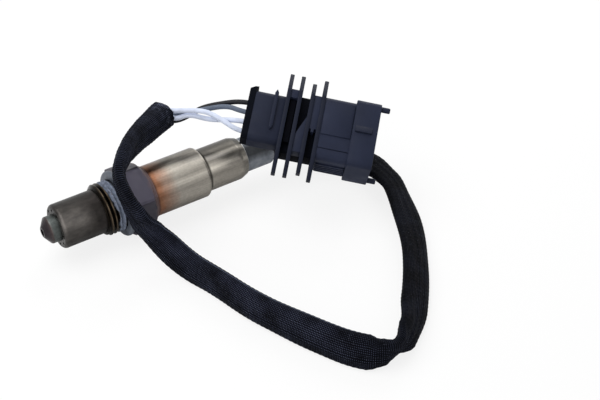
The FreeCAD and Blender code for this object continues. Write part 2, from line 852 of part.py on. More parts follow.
os.makedirs("parts", exist_ok=True)
for name, shape in build_parts().items():
    if len(shape.Solids) != 1 or not shape.isValid():
        print("check", name, "solids", len(shape.Solids), "valid", shape.isValid())
    print(name, "volume", round(shape.Volume, 1), "lowest", round(shape.BoundBox.ZMin, 2))
    shape.exportStep(f"parts/{name}.step")
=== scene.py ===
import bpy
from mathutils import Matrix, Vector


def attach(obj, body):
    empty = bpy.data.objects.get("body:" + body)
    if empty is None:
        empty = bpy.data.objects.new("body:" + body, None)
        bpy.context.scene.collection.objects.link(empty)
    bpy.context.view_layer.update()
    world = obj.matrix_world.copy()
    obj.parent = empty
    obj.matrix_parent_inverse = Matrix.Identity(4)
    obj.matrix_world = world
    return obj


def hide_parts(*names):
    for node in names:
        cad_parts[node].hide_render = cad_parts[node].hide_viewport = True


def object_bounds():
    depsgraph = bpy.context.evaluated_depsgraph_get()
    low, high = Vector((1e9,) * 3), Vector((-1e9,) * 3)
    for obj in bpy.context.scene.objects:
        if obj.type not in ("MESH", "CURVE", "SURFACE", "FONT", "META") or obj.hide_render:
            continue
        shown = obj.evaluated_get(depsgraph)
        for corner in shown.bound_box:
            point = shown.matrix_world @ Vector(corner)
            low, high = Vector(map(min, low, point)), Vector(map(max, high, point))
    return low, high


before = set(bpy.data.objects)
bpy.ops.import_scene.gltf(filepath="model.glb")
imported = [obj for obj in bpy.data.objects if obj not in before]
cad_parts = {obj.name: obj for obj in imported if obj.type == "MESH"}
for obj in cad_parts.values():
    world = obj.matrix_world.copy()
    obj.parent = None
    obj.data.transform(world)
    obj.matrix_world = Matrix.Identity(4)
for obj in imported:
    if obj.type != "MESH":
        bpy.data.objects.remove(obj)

"""Exhaust oxygen sensor with its braided loom and plug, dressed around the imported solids.

The sensor lies along X with its probe tip at -X. Sizes are in millimetres in the classes
and become metres when a mesh is finished.
"""

import logging
import math
from dataclasses import dataclass, field
from enum import Enum
from typing import Iterable, Sequence

import bmesh
import bpy
from mathutils import Matrix, Vector

CAD_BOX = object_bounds()
BODY = "root"
MM = 0.001
LOG = logging.getLogger("oxygen_sensor")

Colour = tuple[float, float, float]
Point = tuple[float, float, float]
Stops = tuple[tuple[float, float], ...]

WHITE: Colour = (1.0, 1.0, 1.0)
MIDDLE_TURN = 136.5


# Finishes


class Pattern(Enum):
    """Directions in which a surface was worked."""

    LENGTHWISE = (0.04, 1.0, 1.0)
    ROUND = (1.0, 0.05, 0.05)


def dimmed(colour: Colour, level: float) -> Colour:
    """The colour with each part times a level."""
    return tuple(part * level for part in colour)


class Graph:
    """Node tree with short ways to add and join nodes."""

    def __init__(self, tree: bpy.types.NodeTree) -> None:
        """Take a tree.

        Args:
            tree: The tree that gets the nodes.
        """
        self.nodes = tree.nodes
        self.links = tree.links

    def join(self, value: object, socket: bpy.types.NodeSocket) -> None:
        """Link a socket to an input, or write a constant on the input."""
        if isinstance(value, bpy.types.NodeSocket):
            self.links.new(value, socket)
        else:
            socket.default_value = (*value, 1) if socket.type == "RGBA" else value

    def add(self, kind: str, **settings: object) -> bpy.types.Node:
        """Add a node.

        Args:
            kind: Blender's name of the node type.
            **settings: Attributes, or inputs by name with _ for a space.

        Returns:
            The new node.
        """
        node = self.nodes.new(kind)
        for key, value in settings.items():
            label = key.replace("_", " ").title()
            if label in node.inputs:
                self.join(value, node.inputs[label])
            else:
                setattr(node, key, value)
        return node

    def math(self, operation: str, *values: object) -> bpy.types.NodeSocket:
        """Work out a number.

        Args:
            operation: Blender's name of the operation.
            *values: Sockets or plain numbers.

        Returns:
            The result's socket.
        """
        node = self.add("ShaderNodeMath", operation=operation)
        for socket, value in zip(node.inputs, values):
            self.join(value, socket)
        return node.outputs[0]

    def span(self, value: object, low: float, high: float,
             to_low: float = 0.0, to_high: float = 1.0) -> bpy.types.NodeSocket:
        """Map a range of a number onto another range, clamped."""
        return self.add("ShaderNodeMapRange", value=value, from_min=low, from_max=high,
                        to_min=to_low, to_max=to_high).outputs[0]

    def blend(self, share: object, first: object, second: object,
              way: str = "MIX") -> bpy.types.NodeSocket:
        """Mix two colours.

        Args:
            share: How much of the second, a socket or a number.
            first: A socket or a linear colour.
            second: A socket or a linear colour.
            way: Blender's name of the blend type.

        Returns:
            The mixed colour's socket.
        """
        node = self.add("ShaderNodeMix", data_type="RGBA", blend_type=way)
        for index, value in ((0, share), (6, first), (7, second)):
            self.join(value, node.inputs[index])
        return node.outputs[2]

    def times(self, first: object, second: object, share: object = 1.0) -> bpy.types.NodeSocket:
        """Multiply two colours."""
        return self.blend(share, first, second, "MULTIPLY")

    def ramp(self, value: bpy.types.NodeSocket, stops: Sequence[tuple[float, Colour]],
             flat: bool = False) -> bpy.types.NodeSocket:
        """Colour ramp.

        Args:
            value: The number that drives it.
            stops: Positions with their linear colours.
            flat: Whether each colour holds until the next one.

        Returns:
            The colour's socket.
        """
        node = self.add("ShaderNodeValToRGB")
        self.join(value, node.inputs[0])
        band = node.color_ramp
        band.interpolation = "CONSTANT" if flat else "LINEAR"
        while len(band.elements) < len(stops):
            band.elements.new(0.5)
        for element, (position, colour) in zip(band.elements, stops):
            element.position = position
            element.color = (*colour, 1)
        return node.outputs[0]

    def levels(self, value: bpy.types.NodeSocket, colour: Colour,
               *stops: tuple[float, float]) -> bpy.types.NodeSocket:
        """Ramp through levels of one colour, given as positions with their levels."""
        return self.ramp(value, [(place, dimmed(colour, level)) for place, level in stops])

    def waver(self, noise: bpy.types.NodeSocket, reach: float) -> bpy.types.NodeSocket:
        """Noise moved to lie about 0 and stretched to a reach."""
        return self.math("MULTIPLY", self.math("SUBTRACT", noise, 0.5), reach)

    def parts(self, vector: bpy.types.NodeSocket) -> bpy.types.NodeOutputs:
        """The three numbers of a vector."""
        return self.add("ShaderNodeSeparateXYZ", vector=vector).outputs


class Shader(Graph):
    """Node tree of a material, read in object coordinates."""

    def __init__(self, name: str) -> None:
        """Start a material.

        Args:
            name: The material's name.
        """
        self.material = bpy.data.materials.new(name)
        self.material.use_nodes = True
        super().__init__(self.material.node_tree)
        self.surface = self.nodes["Principled BSDF"]
        self.place = self.add("ShaderNodeTexCoord").outputs["Object"]

    def feed(self, value: object, label: str = "Base Color") -> None:
        """Join a socket to an input of the surface, or write a constant there."""
        self.join(value, self.surface.inputs[label])

    def turn(self) -> bpy.types.NodeSocket:
        """Turn about the sensor axis, from 0 to 1 with its seam at the back of the underside."""
        rolled = self.add("ShaderNodeMapping", vector=self.place,
                          rotation=(math.radians(-MIDDLE_TURN), 0, 0))
        _, y, z = self.parts(rolled.outputs[0])
        return self.math("ADD", self.math("DIVIDE", self.math("ARCTAN2", z, y), math.tau), 0.5)

    def along(self) -> bpy.types.NodeSocket:
        """Place along the sensor axis, in millimetres."""
        return self.math("DIVIDE", self.parts(self.place)[0], MM)

    def painted_light_bands(self, shade_tone: Colour, levels: Stops, flat: bool = False) -> bpy.types.NodeSocket:
        """Painted highlight and shade bands that run along the sensor.

        Args:
            shade_tone: Colour of a band whose level is 1.
            levels: Angle about the axis in degrees, from +Y over the top, and the level of painted
                light there, below 1 for painted shade.
            flat: Whether each level holds until the next one.

        Returns:
            The colour's socket.
        """
        return self.ramp(self.turn(), [((degrees - MIDDLE_TURN) / 360 + 0.5, dimmed(shade_tone, level))
                                       for degrees, level in levels], flat)

    def noise(self, scale: float, detail: float = 3.0, stretch: Sequence[float] = WHITE,
              rough: float = 0.5) -> bpy.types.NodeSocket:
        """Noise in object coordinates.

        Args:
            scale: Features per metre, roughly.
            detail: Octaves.
            stretch: Factor along each axis before the noise is read.
            rough: How strong the finer octaves are.

        Returns:
            The noise value's socket.
        """
        scaled = self.add("ShaderNodeMapping", vector=self.place, scale=stretch).outputs[0]
        return self.add("ShaderNodeTexNoise", scale=scale, detail=detail, roughness=rough,
                        vector=scaled).outputs[0]

    def relief(self, height: bpy.types.NodeSocket, depth: float, strength: float = 1.0) -> None:
        """Give the surface a bump.

        Args:
            height: The height's socket.
            depth: Millimetres that a height of 1 stands up.
            strength: Share of the bump that is used.
        """
        node = self.add("ShaderNodeBump", height=height, distance=depth * MM, strength=strength)
        self.feed(node.outputs[0], "Normal")


@dataclass(frozen=True)
class Finish:
    """A surface: its colour, gloss and the marks on it."""

    name: str
    colour: Colour
    roughness: float = 0.5
    metallic: float = 0.0

    def make(self) -> bpy.types.Material:
        """Build the material."""
        shader = Shader(self.name)
        shader.feed(self.colour)
        shader.feed(self.roughness, "Roughness")
        shader.feed(self.metallic, "Metallic")
        self.dress(shader)
        return shader.material

    def dress(self, shader: Shader) -> None:
        """Add fine mottling to the colour and gloss."""
        shader.feed(shader.levels(shader.noise(900, 4), self.colour, (0.3, 0.85), (0.7, 1.12)))
        self.gloss(shader, shader.noise(500), 0.06)
        shader.relief(shader.noise(2500, 2), 0.02)

    def gloss(self, shader: Shader, noise: bpy.types.NodeSocket, less: float,
              more: float = 0.08) -> None:
        """Let the roughness follow a noise, from less to more than its plain value."""
        shader.feed(shader.span(noise, 0.3, 0.7, self.roughness - less, self.roughness + more),
                    "Roughness")


@dataclass(frozen=True)
class PressedSteel(Finish):
    """Plain pressed steel with soft blotches and rubbing marks."""

    def dress(self, shader: Shader) -> None:
        """Add blotches, marks round the axis and a fine grain."""
        marks = shader.noise(800, 3, stretch=Pattern.ROUND.value)
        base = shader.levels(shader.noise(260, 4, rough=0.6), self.colour,
                             (0.3, 0.7), (0.7, 1.25))
        light = shader.levels(marks, WHITE, (0.35, 0.8), (0.7, 1.15))
        shader.feed(shader.times(base, light, 0.8))
        shader.relief(shader.math("ADD", marks, shader.noise(3000, 2)), 0.015)


@dataclass(frozen=True)
class ProbeSteel(Finish):
    """Bare tube that was fired dark grey, darker still towards the thread."""

    # around: painted highlight and shade levels by angle about the axis.
    around: Stops = ((0, 0.25), (110, 0.4), (140, 1.4), (165, 0.7), (190, 0.45), (290, 0.3))
    # The colour that the tube darkens to towards the thread, and where that darkening starts and
    # ends.
    darkened: Colour = (0.025, 0.022, 0.021)
    darkened_from: float = -15.0
    darkened_to: float = -9.5

    def dress(self, shader: Shader) -> None:
        """Add the painted highlight and shade bands round the axis, the darkening towards the
        thread, rubbing marks and pits.
        """
        patches = shader.noise(190, 5, rough=0.6)
        place = shader.math("ADD", shader.along(), shader.waver(patches, 5.0))
        base = shader.blend(shader.span(place, self.darkened_from, self.darkened_to, 0.0, 0.85),
                            shader.painted_light_bands(self.colour, self.around), self.darkened)
        marks = shader.noise(650, 4, stretch=(0.5, 1.0, 1.0), rough=0.6)
        light = shader.ramp(marks, [(0.3, (0.7, 0.7, 0.7)), (0.72, (1.35, 1.33, 1.3))])
        shader.feed(shader.times(base, light, 0.85))
        self.gloss(shader, patches, 0.06, 0.1)
        shader.relief(shader.math("ADD", marks, shader.noise(2600, 2)), 0.02)


@dataclass(frozen=True)
class DomeSteel(Finish):
    """Inner tube: grey round its rim, with a reddish line before the dark cone."""

    tip: float = -26.4
    rim: float = -21.6

    def dress(self, shader: Shader) -> None:
        """Add the rings of tint and a mottled grain."""
        place = shader.math("ADD", shader.along(), shader.waver(shader.noise(240, 4), 0.9))
        rings = shader.ramp(shader.span(place, self.tip, self.rim), [
            (0.0, (0.032, 0.028, 0.031)), (0.3, (0.038, 0.031, 0.034)),
            (0.4, (0.062, 0.048, 0.047)), (0.52, self.colour), (1.0, dimmed(self.colour, 0.8))])
        spots = shader.levels(shader.noise(700, 4), WHITE, (0.3, 0.75), (0.7, 1.2))
        shader.feed(shader.times(rings, spots, 0.8))
        shader.relief(shader.noise(2400, 3), 0.02)


@dataclass(frozen=True)
class DrawnSleeve(Finish):
    """Drawn stainless with painted lengthwise bands of highlight and reflected shade, and a copper
    tint beside the weld.
    """

    # front and rear: painted highlight and reflected shade levels by angle, before and behind the
    # step.
    front: Stops = ((60, 0.15), (85, 0.25), (97, 0.1), (115, 0.45), (135, 0.25), (145, 0.4),
                    (155, 0.27), (270, 0.27))
    rear: Stops = ((60, 0.08), (105, 0.07), (115, 0.45), (125, 0.25), (145, 0.65), (157, 0.25),
                   (270, 0.25))
    # Painted reflection of the dark plug: shade levels by angle on the shoulder before the rim.
    shoulder_shade: Stops = ((0, 0.6), (125, 0.3), (150, 1.0), (215, 1.0), (270, 0.7))
    tint: Colour = (0.76, 0.38, 0.245)
    weld: float = 11.9
    step: float = 32.4
    # Length of the painted shade in the neck behind the step.
    shaded_neck: float = 1.0
    rim: float = 48.1

    def dress(self, shader: Shader) -> None:
        """Add the painted highlight and shade bands, the tint, painted shade in the neck behind
        the step, a painted reflection of the plug on the shoulder before the rim, a painted
        highlight on the rim and fine brushing.
        """
        along = shader.along()
        behind = shader.span(along, self.step - 0.1, self.step + 0.1)
        # Painted highlight and shade bands round the axis.
        metal = shader.blend(behind, shader.painted_light_bands(self.colour, self.front),
                             shader.painted_light_bands(self.colour, self.rear))
        place = shader.math("ADD", along, shader.waver(shader.noise(240, 3), 5.0))
        metal = shader.blend(shader.span(place, 13.0, 20.5, 1.0, 0.0), metal,
                             shader.times(metal, self.tint))
        metal = shader.blend(shader.span(along, self.weld, self.weld + 0.8, 0.8, 0.0), metal,
                             (0.05, 0.032, 0.03))
        # Painted shade in the neck just behind the step.
        end = self.step + self.shaded_neck
        shaded_neck = shader.math("MULTIPLY", behind, shader.span(along, end - 0.2, end + 0.15, 1.0, 0.0))
        metal = shader.blend(shader.math("MULTIPLY", shaded_neck, 0.85), metal, (0.03, 0.028, 0.024))
        # Painted reflection of the dark plug on the shoulder before the rim.
        metal = shader.blend(shader.span(along, self.rim - 2.6, self.rim - 1.9), metal,
                             shader.times(metal, shader.painted_light_bands(WHITE, self.shoulder_shade)))
        # Painted highlight: a thin bright line on the rim.
        metal = shader.blend(shader.span(along, self.rim - 0.05, self.rim + 0.1), metal,
                             (0.42, 0.42, 0.42))
        fine = shader.noise(2400, 3, stretch=Pattern.LENGTHWISE.value)
        metal = shader.times(metal, shader.levels(fine, WHITE, (0.3, 0.88), (0.7, 1.1)))
        specks = shader.levels(shader.noise(1300, 3), WHITE, (0.3, 0.9), (0.7, 1.1))
        shader.feed(shader.times(metal, specks, 0.8))
        self.gloss(shader, shader.noise(300, 3), 0.04)
        shader.relief(shader.math("ADD", fine, shader.noise(1800, 2)), 0.008)


@dataclass(frozen=True)
class PastedThread(Finish):
    """Thread with bare brown turns in front and pale paste on the last of them."""

    paste: Colour = (0.165, 0.19, 0.25)
    crest: float = 8.98
    root: float = 8.3
    gap: float = -0.3
    # around: painted highlight and shade levels by angle on the bare turns.
    around: Stops = ((0, 0.35), (85, 0.3), (120, 0.75), (150, 1.0), (185, 0.9), (215, 0.5))

    def dress(self, shader: Shader) -> None:
        """Add the paste's ragged edge, its lumps, the bare turns with painted shade in their
        grooves, painted highlights on their crests and in bands round the axis, and a painted
        shadow in the gap before the gasket.
        """
        along = shader.along()
        _, y, z = shader.parts(shader.place)
        reach = shader.math("SQRT", shader.math("ADD", shader.math("POWER", y, 2),
                                                shader.math("POWER", z, 2)))
        height = shader.span(reach, self.root * MM, self.crest * MM)
        # Painted shade in the grooves and painted highlight on the crests.
        bare = shader.ramp(height, [(0.0, (0.008, 0.0065, 0.005)), (0.5, (0.024, 0.018, 0.013)),
                                    (0.85, self.colour), (1.0, (0.11, 0.085, 0.058))])
        # Painted highlight and shade bands round the axis.
        bare = shader.times(bare, shader.painted_light_bands(WHITE, self.around))
        start = shader.math("MULTIPLY", shader.span(shader.turn(), 0.32, 0.64), 1.3)
        ragged = shader.math("ADD", along, shader.waver(shader.noise(420, 4), 1.8))
        cover = shader.span(shader.math("SUBTRACT", ragged, start), -3.9, -3.6)
        cover = shader.math("MULTIPLY", cover, shader.span(shader.noise(900, 4), 0.6, 0.66,
                                                           1.0, 0.3))
        pale = shader.levels(shader.noise(1100, 3), self.paste, (0.3, 0.65), (0.7, 1.3))
        shadow = shader.span(along, self.gap - 0.15, self.gap, 0.0, 0.95)
        shader.feed(shader.blend(shadow, shader.blend(cover, bare, pale), (0.006, 0.007, 0.01)))
        shader.feed(shader.span(cover, 0, 1, self.metallic, 0.0), "Metallic")
        shader.feed(shader.span(cover, 0, 1, self.roughness, 0.7), "Roughness")
        shader.feed(0.2, "Specular IOR Level")
        shader.relief(shader.math("ADD", shader.noise(1600, 3), cover), 0.05, 0.7)


@dataclass(frozen=True)
class ForgedHex(Finish):
    """Machined hexagon with a dull purple-grey face."""

    tint: Colour = (0.2, 0.11, 0.075)
    # Painted light and shade: one flat level per facet, by angle about the axis.
    painted_facet_shade: Stops = ((-43.5, 0.8), (-25, 0.8), (35, 0.42), (95, 1.0), (155, 0.55), (215, 0.6),
                     (275, 0.8))

    def dress(self, shader: Shader) -> None:
        """Add a fine grain, soft blotches, painted light and shade with one level per facet, and
        the heat tint at the weld.
        """
        base = shader.levels(shader.noise(200, 4), self.colour, (0.3, 0.88), (0.7, 1.12))
        base = shader.times(base, shader.painted_light_bands(WHITE, self.painted_facet_shade, flat=True))
        place = shader.math("ADD", shader.along(), shader.waver(shader.noise(330, 3), 2.4))
        shader.feed(shader.blend(shader.span(place, 9.2, 11.0, 0.0, 0.45), base, self.tint))
        self.gloss(shader, shader.noise(800, 3), 0.05)
        shader.feed(0.3, "Specular IOR Level")
        shader.relief(shader.noise(2600, 3), 0.014)


@dataclass(frozen=True)
class MouldedPlastic(Finish):
    """Fine-textured dark plastic with a little dust and soft flow marks."""

    shine: float = 0.1
    painted_shade_by_part: bool = False

    def dress(self, shader: Shader) -> None:
        """Add the mould's texture, faint paler areas and, where set, painted shade per part."""
        base = shader.levels(shader.noise(70, 4, rough=0.55), self.colour, (0.3, 0.82), (0.7, 1.2))
        dust = shader.span(shader.noise(1500, 5, rough=0.7), 0.66, 0.74, 0.0, 0.12)
        base = shader.blend(dust, base, (0.06, 0.065, 0.09))
        # Painted shade: each part's level of shade, stored on its faces.
        if self.painted_shade_by_part:
            shade_tone = shader.add("ShaderNodeAttribute", attribute_name="shade_tone").outputs["Color"]
            base = shader.times(base, shade_tone)
        shader.feed(base)
        shader.feed(self.shine, "Specular IOR Level")
        self.gloss(shader, shader.noise(260, 3), 0.07)
        shader.relief(shader.noise(4200, 2), 0.015)


@dataclass(frozen=True)
class BraidedYarn(Finish):
    """Black yarn plaited over the leads, read from the sleeve's own UV map.

    The map counts strands: u round the sleeve and v along it, so u + v and u - v are whole
    where two strands meet.
    """

    glint: Colour = (0.06, 0.068, 0.105)
    # Colour of the painted glint specks.
    spark: Colour = (0.16, 0.175, 0.23)
    # Colour of the painted highlight along the top edge.
    edge_highlight: Colour = (0.13, 0.15, 0.22)
    show: Colour = (0.2, 0.22, 0.3)
    open_from: float = 262.0
    open_to: float = 268.5
    strands: float = 26.0

    def dress(self, shader: Shader) -> None:
        """Add the strands, their fibres, painted shade and glints, the painted highlight along the
        top edge and the open mesh at the end.
        """
        around, along, _ = shader.parts(shader.add("ShaderNodeUVMap", uv_map="braid").outputs[0])
        families = [shader.math(way, around, along) for way in ("ADD", "SUBTRACT")]
        wave, fibre = ([shader.math("SINE", shader.math("MULTIPLY", value, math.tau * count))
                        for value in families] for count in (1, 3))
        over = shader.math("GREATER_THAN", shader.math("MULTIPLY", *wave), 0.0)
        under = shader.math("SUBTRACT", 1.0, over)
        lines = shader.math("ADD", shader.math("MULTIPLY", over, fibre[0]),
                            shader.math("MULTIPLY", under, fibre[1]))
        height = shader.math("MULTIPLY", *(shader.math("ABSOLUTE", value) for value in wave))
        height = shader.math("ADD", height, shader.math("MULTIPLY", lines, 0.15))
        # Painted light: the over strands are lit brighter, the hollows between strands get painted
        # shade and the crests a painted glint.
        lit = shader.math("MULTIPLY", height, shader.span(over, 0, 1, 0.5, 1.0))
        shade = shader.ramp(lit, [(0.1, dimmed(self.colour, 0.2)), (0.45, self.colour),
                                  (0.8, self.glint)])
        # Random patches that stand for wear and also gather the painted glints.
        wear_and_glint_patches = shader.ramp(shader.noise(140, 4), [(0.35, (0.4, 0.4, 0.4)),
                                                  (0.65, (1.5, 1.5, 1.55))])
        shade = shader.times(shade, wear_and_glint_patches, 0.9)
        # Painted shade: darker along the stretch beside the plug, a little brighter beyond it.
        shade = shader.times(shade, shader.span(along, 105, 150, 0.42, 1.15))
        # Painted glints: sparse bright specks on the strand crests.
        sparks = shader.math("MULTIPLY", shader.span(shader.noise(1500, 2), 0.6, 0.68),
                             shader.span(lit, 0.5, 0.9))
        shade = shader.blend(shader.math("MULTIPLY", sparks, 0.6), shade, self.spark)
        # Painted highlight along the sleeve's top edge on its middle stretch.
        half = self.strands / 2
        side = shader.math("SUBTRACT", shader.math(
            "MODULO", shader.math("ADD", around, half), self.strands), half)
        part = shader.math("MULTIPLY", shader.span(along, 128, 142), shader.span(along, 222, 208))
        edge_highlight = shader.math("MULTIPLY", shader.span(shader.math("ABSOLUTE", side), 0.5, 0.1), part)
        shade = shader.blend(shader.math("MULTIPLY", edge_highlight, 0.7), shade, self.edge_highlight)
        holes = shader.math("MULTIPLY", shader.span(height, 0.16, 0.05),
                            shader.span(along, self.open_from, self.open_to))
        holes = shader.math("MULTIPLY", holes, shader.span(shader.noise(520, 2), 0.5, 0.58))
        shader.feed(shader.blend(holes, shade, self.show))
        shader.feed(shader.span(height, 0.0, 1.0, 0.8, self.roughness), "Roughness")
        shader.feed(0.03, "Specular IOR Level")
        shader.relief(height, 0.16, 0.9)


@dataclass(frozen=True)
class WireSkin(Finish):
    """Smooth extruded insulation, slightly soiled."""

    def dress(self, shader: Shader) -> None:
        """Add faint soiling and a soft waviness."""
        shader.feed(shader.levels(shader.noise(260, 4), self.colour, (0.28, 0.82), (0.6, 1.0)))
        shader.feed(0.2, "Specular IOR Level")
        shader.relief(shader.noise(900, 2), 0.02)


@dataclass(frozen=True)
class MottledRubber(Finish):
    """Grey rubber with chalky bloom."""

    bloom: Colour = (0.24, 0.255, 0.28)
    shadow: Colour = (0.085, 0.092, 0.11)
    # around: painted shadow and highlight levels by angle about the sensor axis.
    around: Stops = ()

    def dress(self, shader: Shader) -> None:
        """Add the bloom, darker smears, painted shadow and highlight bands round the axis where
        given, and a matt grain.
        """
        cloud = shader.noise(330, 5, rough=0.65)
        base = shader.ramp(cloud, [(0.25, self.shadow), (0.47, self.colour),
                                   (0.75, self.bloom)])
        if self.around:
            base = shader.times(base, shader.painted_light_bands(WHITE, self.around))
        shader.feed(base)
        shader.relief(shader.math("ADD", cloud, shader.noise(2600, 3)), 0.05)


FINISHES: dict[str, Finish] = {finish.name: finish for finish in (
    ProbeSteel("probe_steel", (0.1, 0.093, 0.088), 0.4, 1.0),
    DomeSteel("dome_steel", (0.09, 0.1, 0.097), 0.4, 1.0),
    ForgedHex("shell_steel", (0.088, 0.081, 0.112), 0.5, 0.35),
    PastedThread("thread_steel", (0.075, 0.055, 0.036), 0.3, 1.0),
    PressedSteel("gasket_steel", (0.112, 0.127, 0.156), 0.5, 0.6),
    DrawnSleeve("sleeve_steel", (1.13, 1.05, 0.92), 0.34, 1.0),
    Finish("zirconia", (0.72, 0.7, 0.62), 0.55),
    Finish("ceramic", (0.66, 0.62, 0.55), 0.6),
    Finish("talc", (0.4, 0.4, 0.38), 0.9),
    Finish("contact_nickel", (0.55, 0.52, 0.47), 0.3, 1.0),
    # The grommet's levels paint the plug's cast shadow across its top and a highlight below it.
    MottledRubber("grommet_rubber", (0.15, 0.165, 0.19), 0.75, around=(
        (0, 0.5), (105, 1.0), (122, 0.25), (150, 0.25), (175, 1.5), (215, 1.2), (270, 0.6))),
    BraidedYarn("braid_black", (0.003, 0.0036, 0.0066), 0.5),
    # The plug's plastic takes painted shade per part.
    MouldedPlastic("plug_plastic", (0.0165, 0.021, 0.042), 0.5, painted_shade_by_part=True),
    MouldedPlastic("cover_plastic", (0.003, 0.0037, 0.0065), 0.6, shine=0.025),
    MouldedPlastic("lock_plastic", (0.002, 0.0022, 0.004), 0.6, shine=0.02),
    WireSkin("wire_white", (0.7, 0.76, 0.92), 0.5),
    WireSkin("wire_grey", (0.115, 0.14, 0.19), 0.5),
    WireSkin("wire_black", (0.005, 0.005, 0.008), 0.45),
    Finish("terminal_brass", (0.66, 0.5, 0.24), 0.25, 1.0),
    MottledRubber("seal_rubber", (0.25, 0.06, 0.03), 0.7, 0.0, (0.3, 0.09, 0.05),
                  (0.14, 0.03, 0.02)))}


class Paintbox:
    """Materials that have been made, one for each finish."""

    made: dict[str, bpy.types.Material] = {}

    @classmethod
    def get(cls, finish: str) -> bpy.types.Material:
        """The material of a finish, made when it is first asked for."""
        if finish not in cls.made:
            cls.made[finish] = FINISHES[finish].make()
        return cls.made[finish]


# Mesh tools


def meshed(bm: bmesh.types.BMesh, name: str) -> bpy.types.Mesh:
    """Turn a bmesh into a mesh and free it."""
    mesh = bpy.data.meshes.new(name)
    bm.to_mesh(mesh)
    bm.free()
    return mesh


def shown(name: str, data: bpy.types.ID) -> bpy.types.Object:
    """A new object in the scene, at the origin."""
    piece = bpy.data.objects.new(name, data)
    bpy.context.scene.collection.objects.link(piece)
    return piece


def rounded(bm: bmesh.types.BMesh, edges: Iterable[bmesh.types.BMEdge], width: float,
            segments: int = 2) -> None:
    """Bevel some edges."""
    bmesh.ops.bevel(bm, geom=list(edges), offset=width, offset_type="OFFSET", segments=segments,
                    profile=0.5, affect="EDGES", material=-1, clamp_overlap=True)


def finished(bm: bmesh.types.BMesh, name: str, finish: str,
             replaces: Sequence[str] = (), sharp: float = 38.0) -> bpy.types.Object:
    """Turn a bmesh in millimetres into a piece that rides on the part.

    Args:
        bm: The mesh, which is freed.
        name: The piece's name.
        finish: The finish that it wears.
        replaces: CAD nodes that the piece stands for.
        sharp: Angle in degrees above which an edge stays sharp.

    Returns:
        The new object.
    """
    bmesh.ops.scale(bm, vec=(MM, MM, MM), verts=bm.verts)
    bmesh.ops.recalc_face_normals(bm, faces=bm.faces)
    mesh = meshed(bm, name)
    mesh.shade_smooth()
    mesh.set_sharp_from_angle(angle=math.radians(sharp))
    piece = shown(name, mesh)
    mesh.materials.append(Paintbox.get(finish))
    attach(piece, BODY)
    if replaces:
        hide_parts(*replaces)
    LOG.info("%s: %d faces", name, len(mesh.polygons))
    return piece


def turned(bm: bmesh.types.BMesh, outline: Sequence[tuple[float, float]],
           steps: int) -> list[bmesh.types.BMVert]:
    """Spin a closed chain of (x, radius) points about the sensor axis.

    Args:
        bm: The mesh to add to.
        outline: The points, in order.
        steps: Number of facets round the axis.

    Returns:
        The mesh's vertices.
    """
    points = [bm.verts.new((x, 0, radius)) for x, radius in outline]
    edges = [bm.edges.new(pair) for pair in zip(points, points[1:] + points[:1])]
    bmesh.ops.spin(bm, geom=points + edges, cent=(0, 0, 0), axis=(1, 0, 0),
                   angle=math.tau, steps=steps, use_merge=True)
    return list(bm.verts)


def ring(bm: bmesh.types.BMesh, x: float, y: tuple[float, float], z: tuple[float, float],
         radius: float) -> list[bmesh.types.BMEdge]:
    """Rounded rectangle across the plug's axis.

    Args:
        bm: The mesh to add to.
        x: Place along the plug.
        y: Lowest and highest y.
        z: Lowest and highest z.
        radius: Corner radius.

    Returns:
        The ring's edges.
    """
    steps = 32
    turn = Matrix.Translation((x, 0, 0)) @ Matrix.Rotation(math.pi / 2, 4, "Y") @ \
        Matrix.Rotation(math.pi / steps, 4, "Z")
    verts = bmesh.ops.create_circle(bm, segments=steps, radius=radius, matrix=turn)["verts"]
    half_y, half_z = (y[1] - y[0]) / 2 - radius, (z[1] - z[0]) / 2 - radius
    for vert in verts:
        vert.co.y += math.copysign(half_y, vert.co.y) + (y[0] + y[1]) / 2
        vert.co.z += math.copysign(half_z, vert.co.z) + (z[0] + z[1]) / 2
    return list({edge for vert in verts for edge in vert.link_edges})


def stacked(bm: bmesh.types.BMesh,
            sections: Sequence[tuple[float, tuple[float, float], tuple[float, float], float]],
            soften: float = 0.0) -> None:
    """Closed skin over rounded rectangles that follow each other along the plug.

    Args:
        bm: The mesh to add to.
        sections: x, y limits, z limits and corner radius of each.
        soften: Width of the bevel on edges where the skin turns sharply.
    """
    before = set(bm.edges)
    rings = [ring(bm, *section) for section in sections]
    for first, second in zip(rings, rings[1:]):
        bmesh.ops.bridge_loops(bm, edges=first + second)
    for end in (rings[0], rings[-1]):
        bmesh.ops.contextual_create(bm, geom=end)
    new = [edge for edge in bm.edges if edge not in before]
    faces = list({face for edge in new for face in edge.link_faces})
    bmesh.ops.recalc_face_normals(bm, faces=faces)
    if soften:
        rounded(bm, [edge for edge in new
                     if edge.is_manifold and edge.calc_face_angle() > math.radians(50)], soften)


def box(bm: bmesh.types.BMesh, x: tuple[float, float], y: tuple[float, float],
        z: tuple[float, float], soften: float = 0.12) -> None:
    """Box with bevelled edges.

    Args:
        bm: The mesh to add to.
        x: Limits along x.
        y: Limits along y.
        z: Limits along z.
        soften: Width of the bevel.
    """
    verts = bmesh.ops.create_cube(bm, size=1)["verts"]
    for vert in verts:
        for axis, limits in enumerate((x, y, z)):
            vert.co[axis] = limits[vert.co[axis] > 0]
    bevelled(bm, verts, soften)


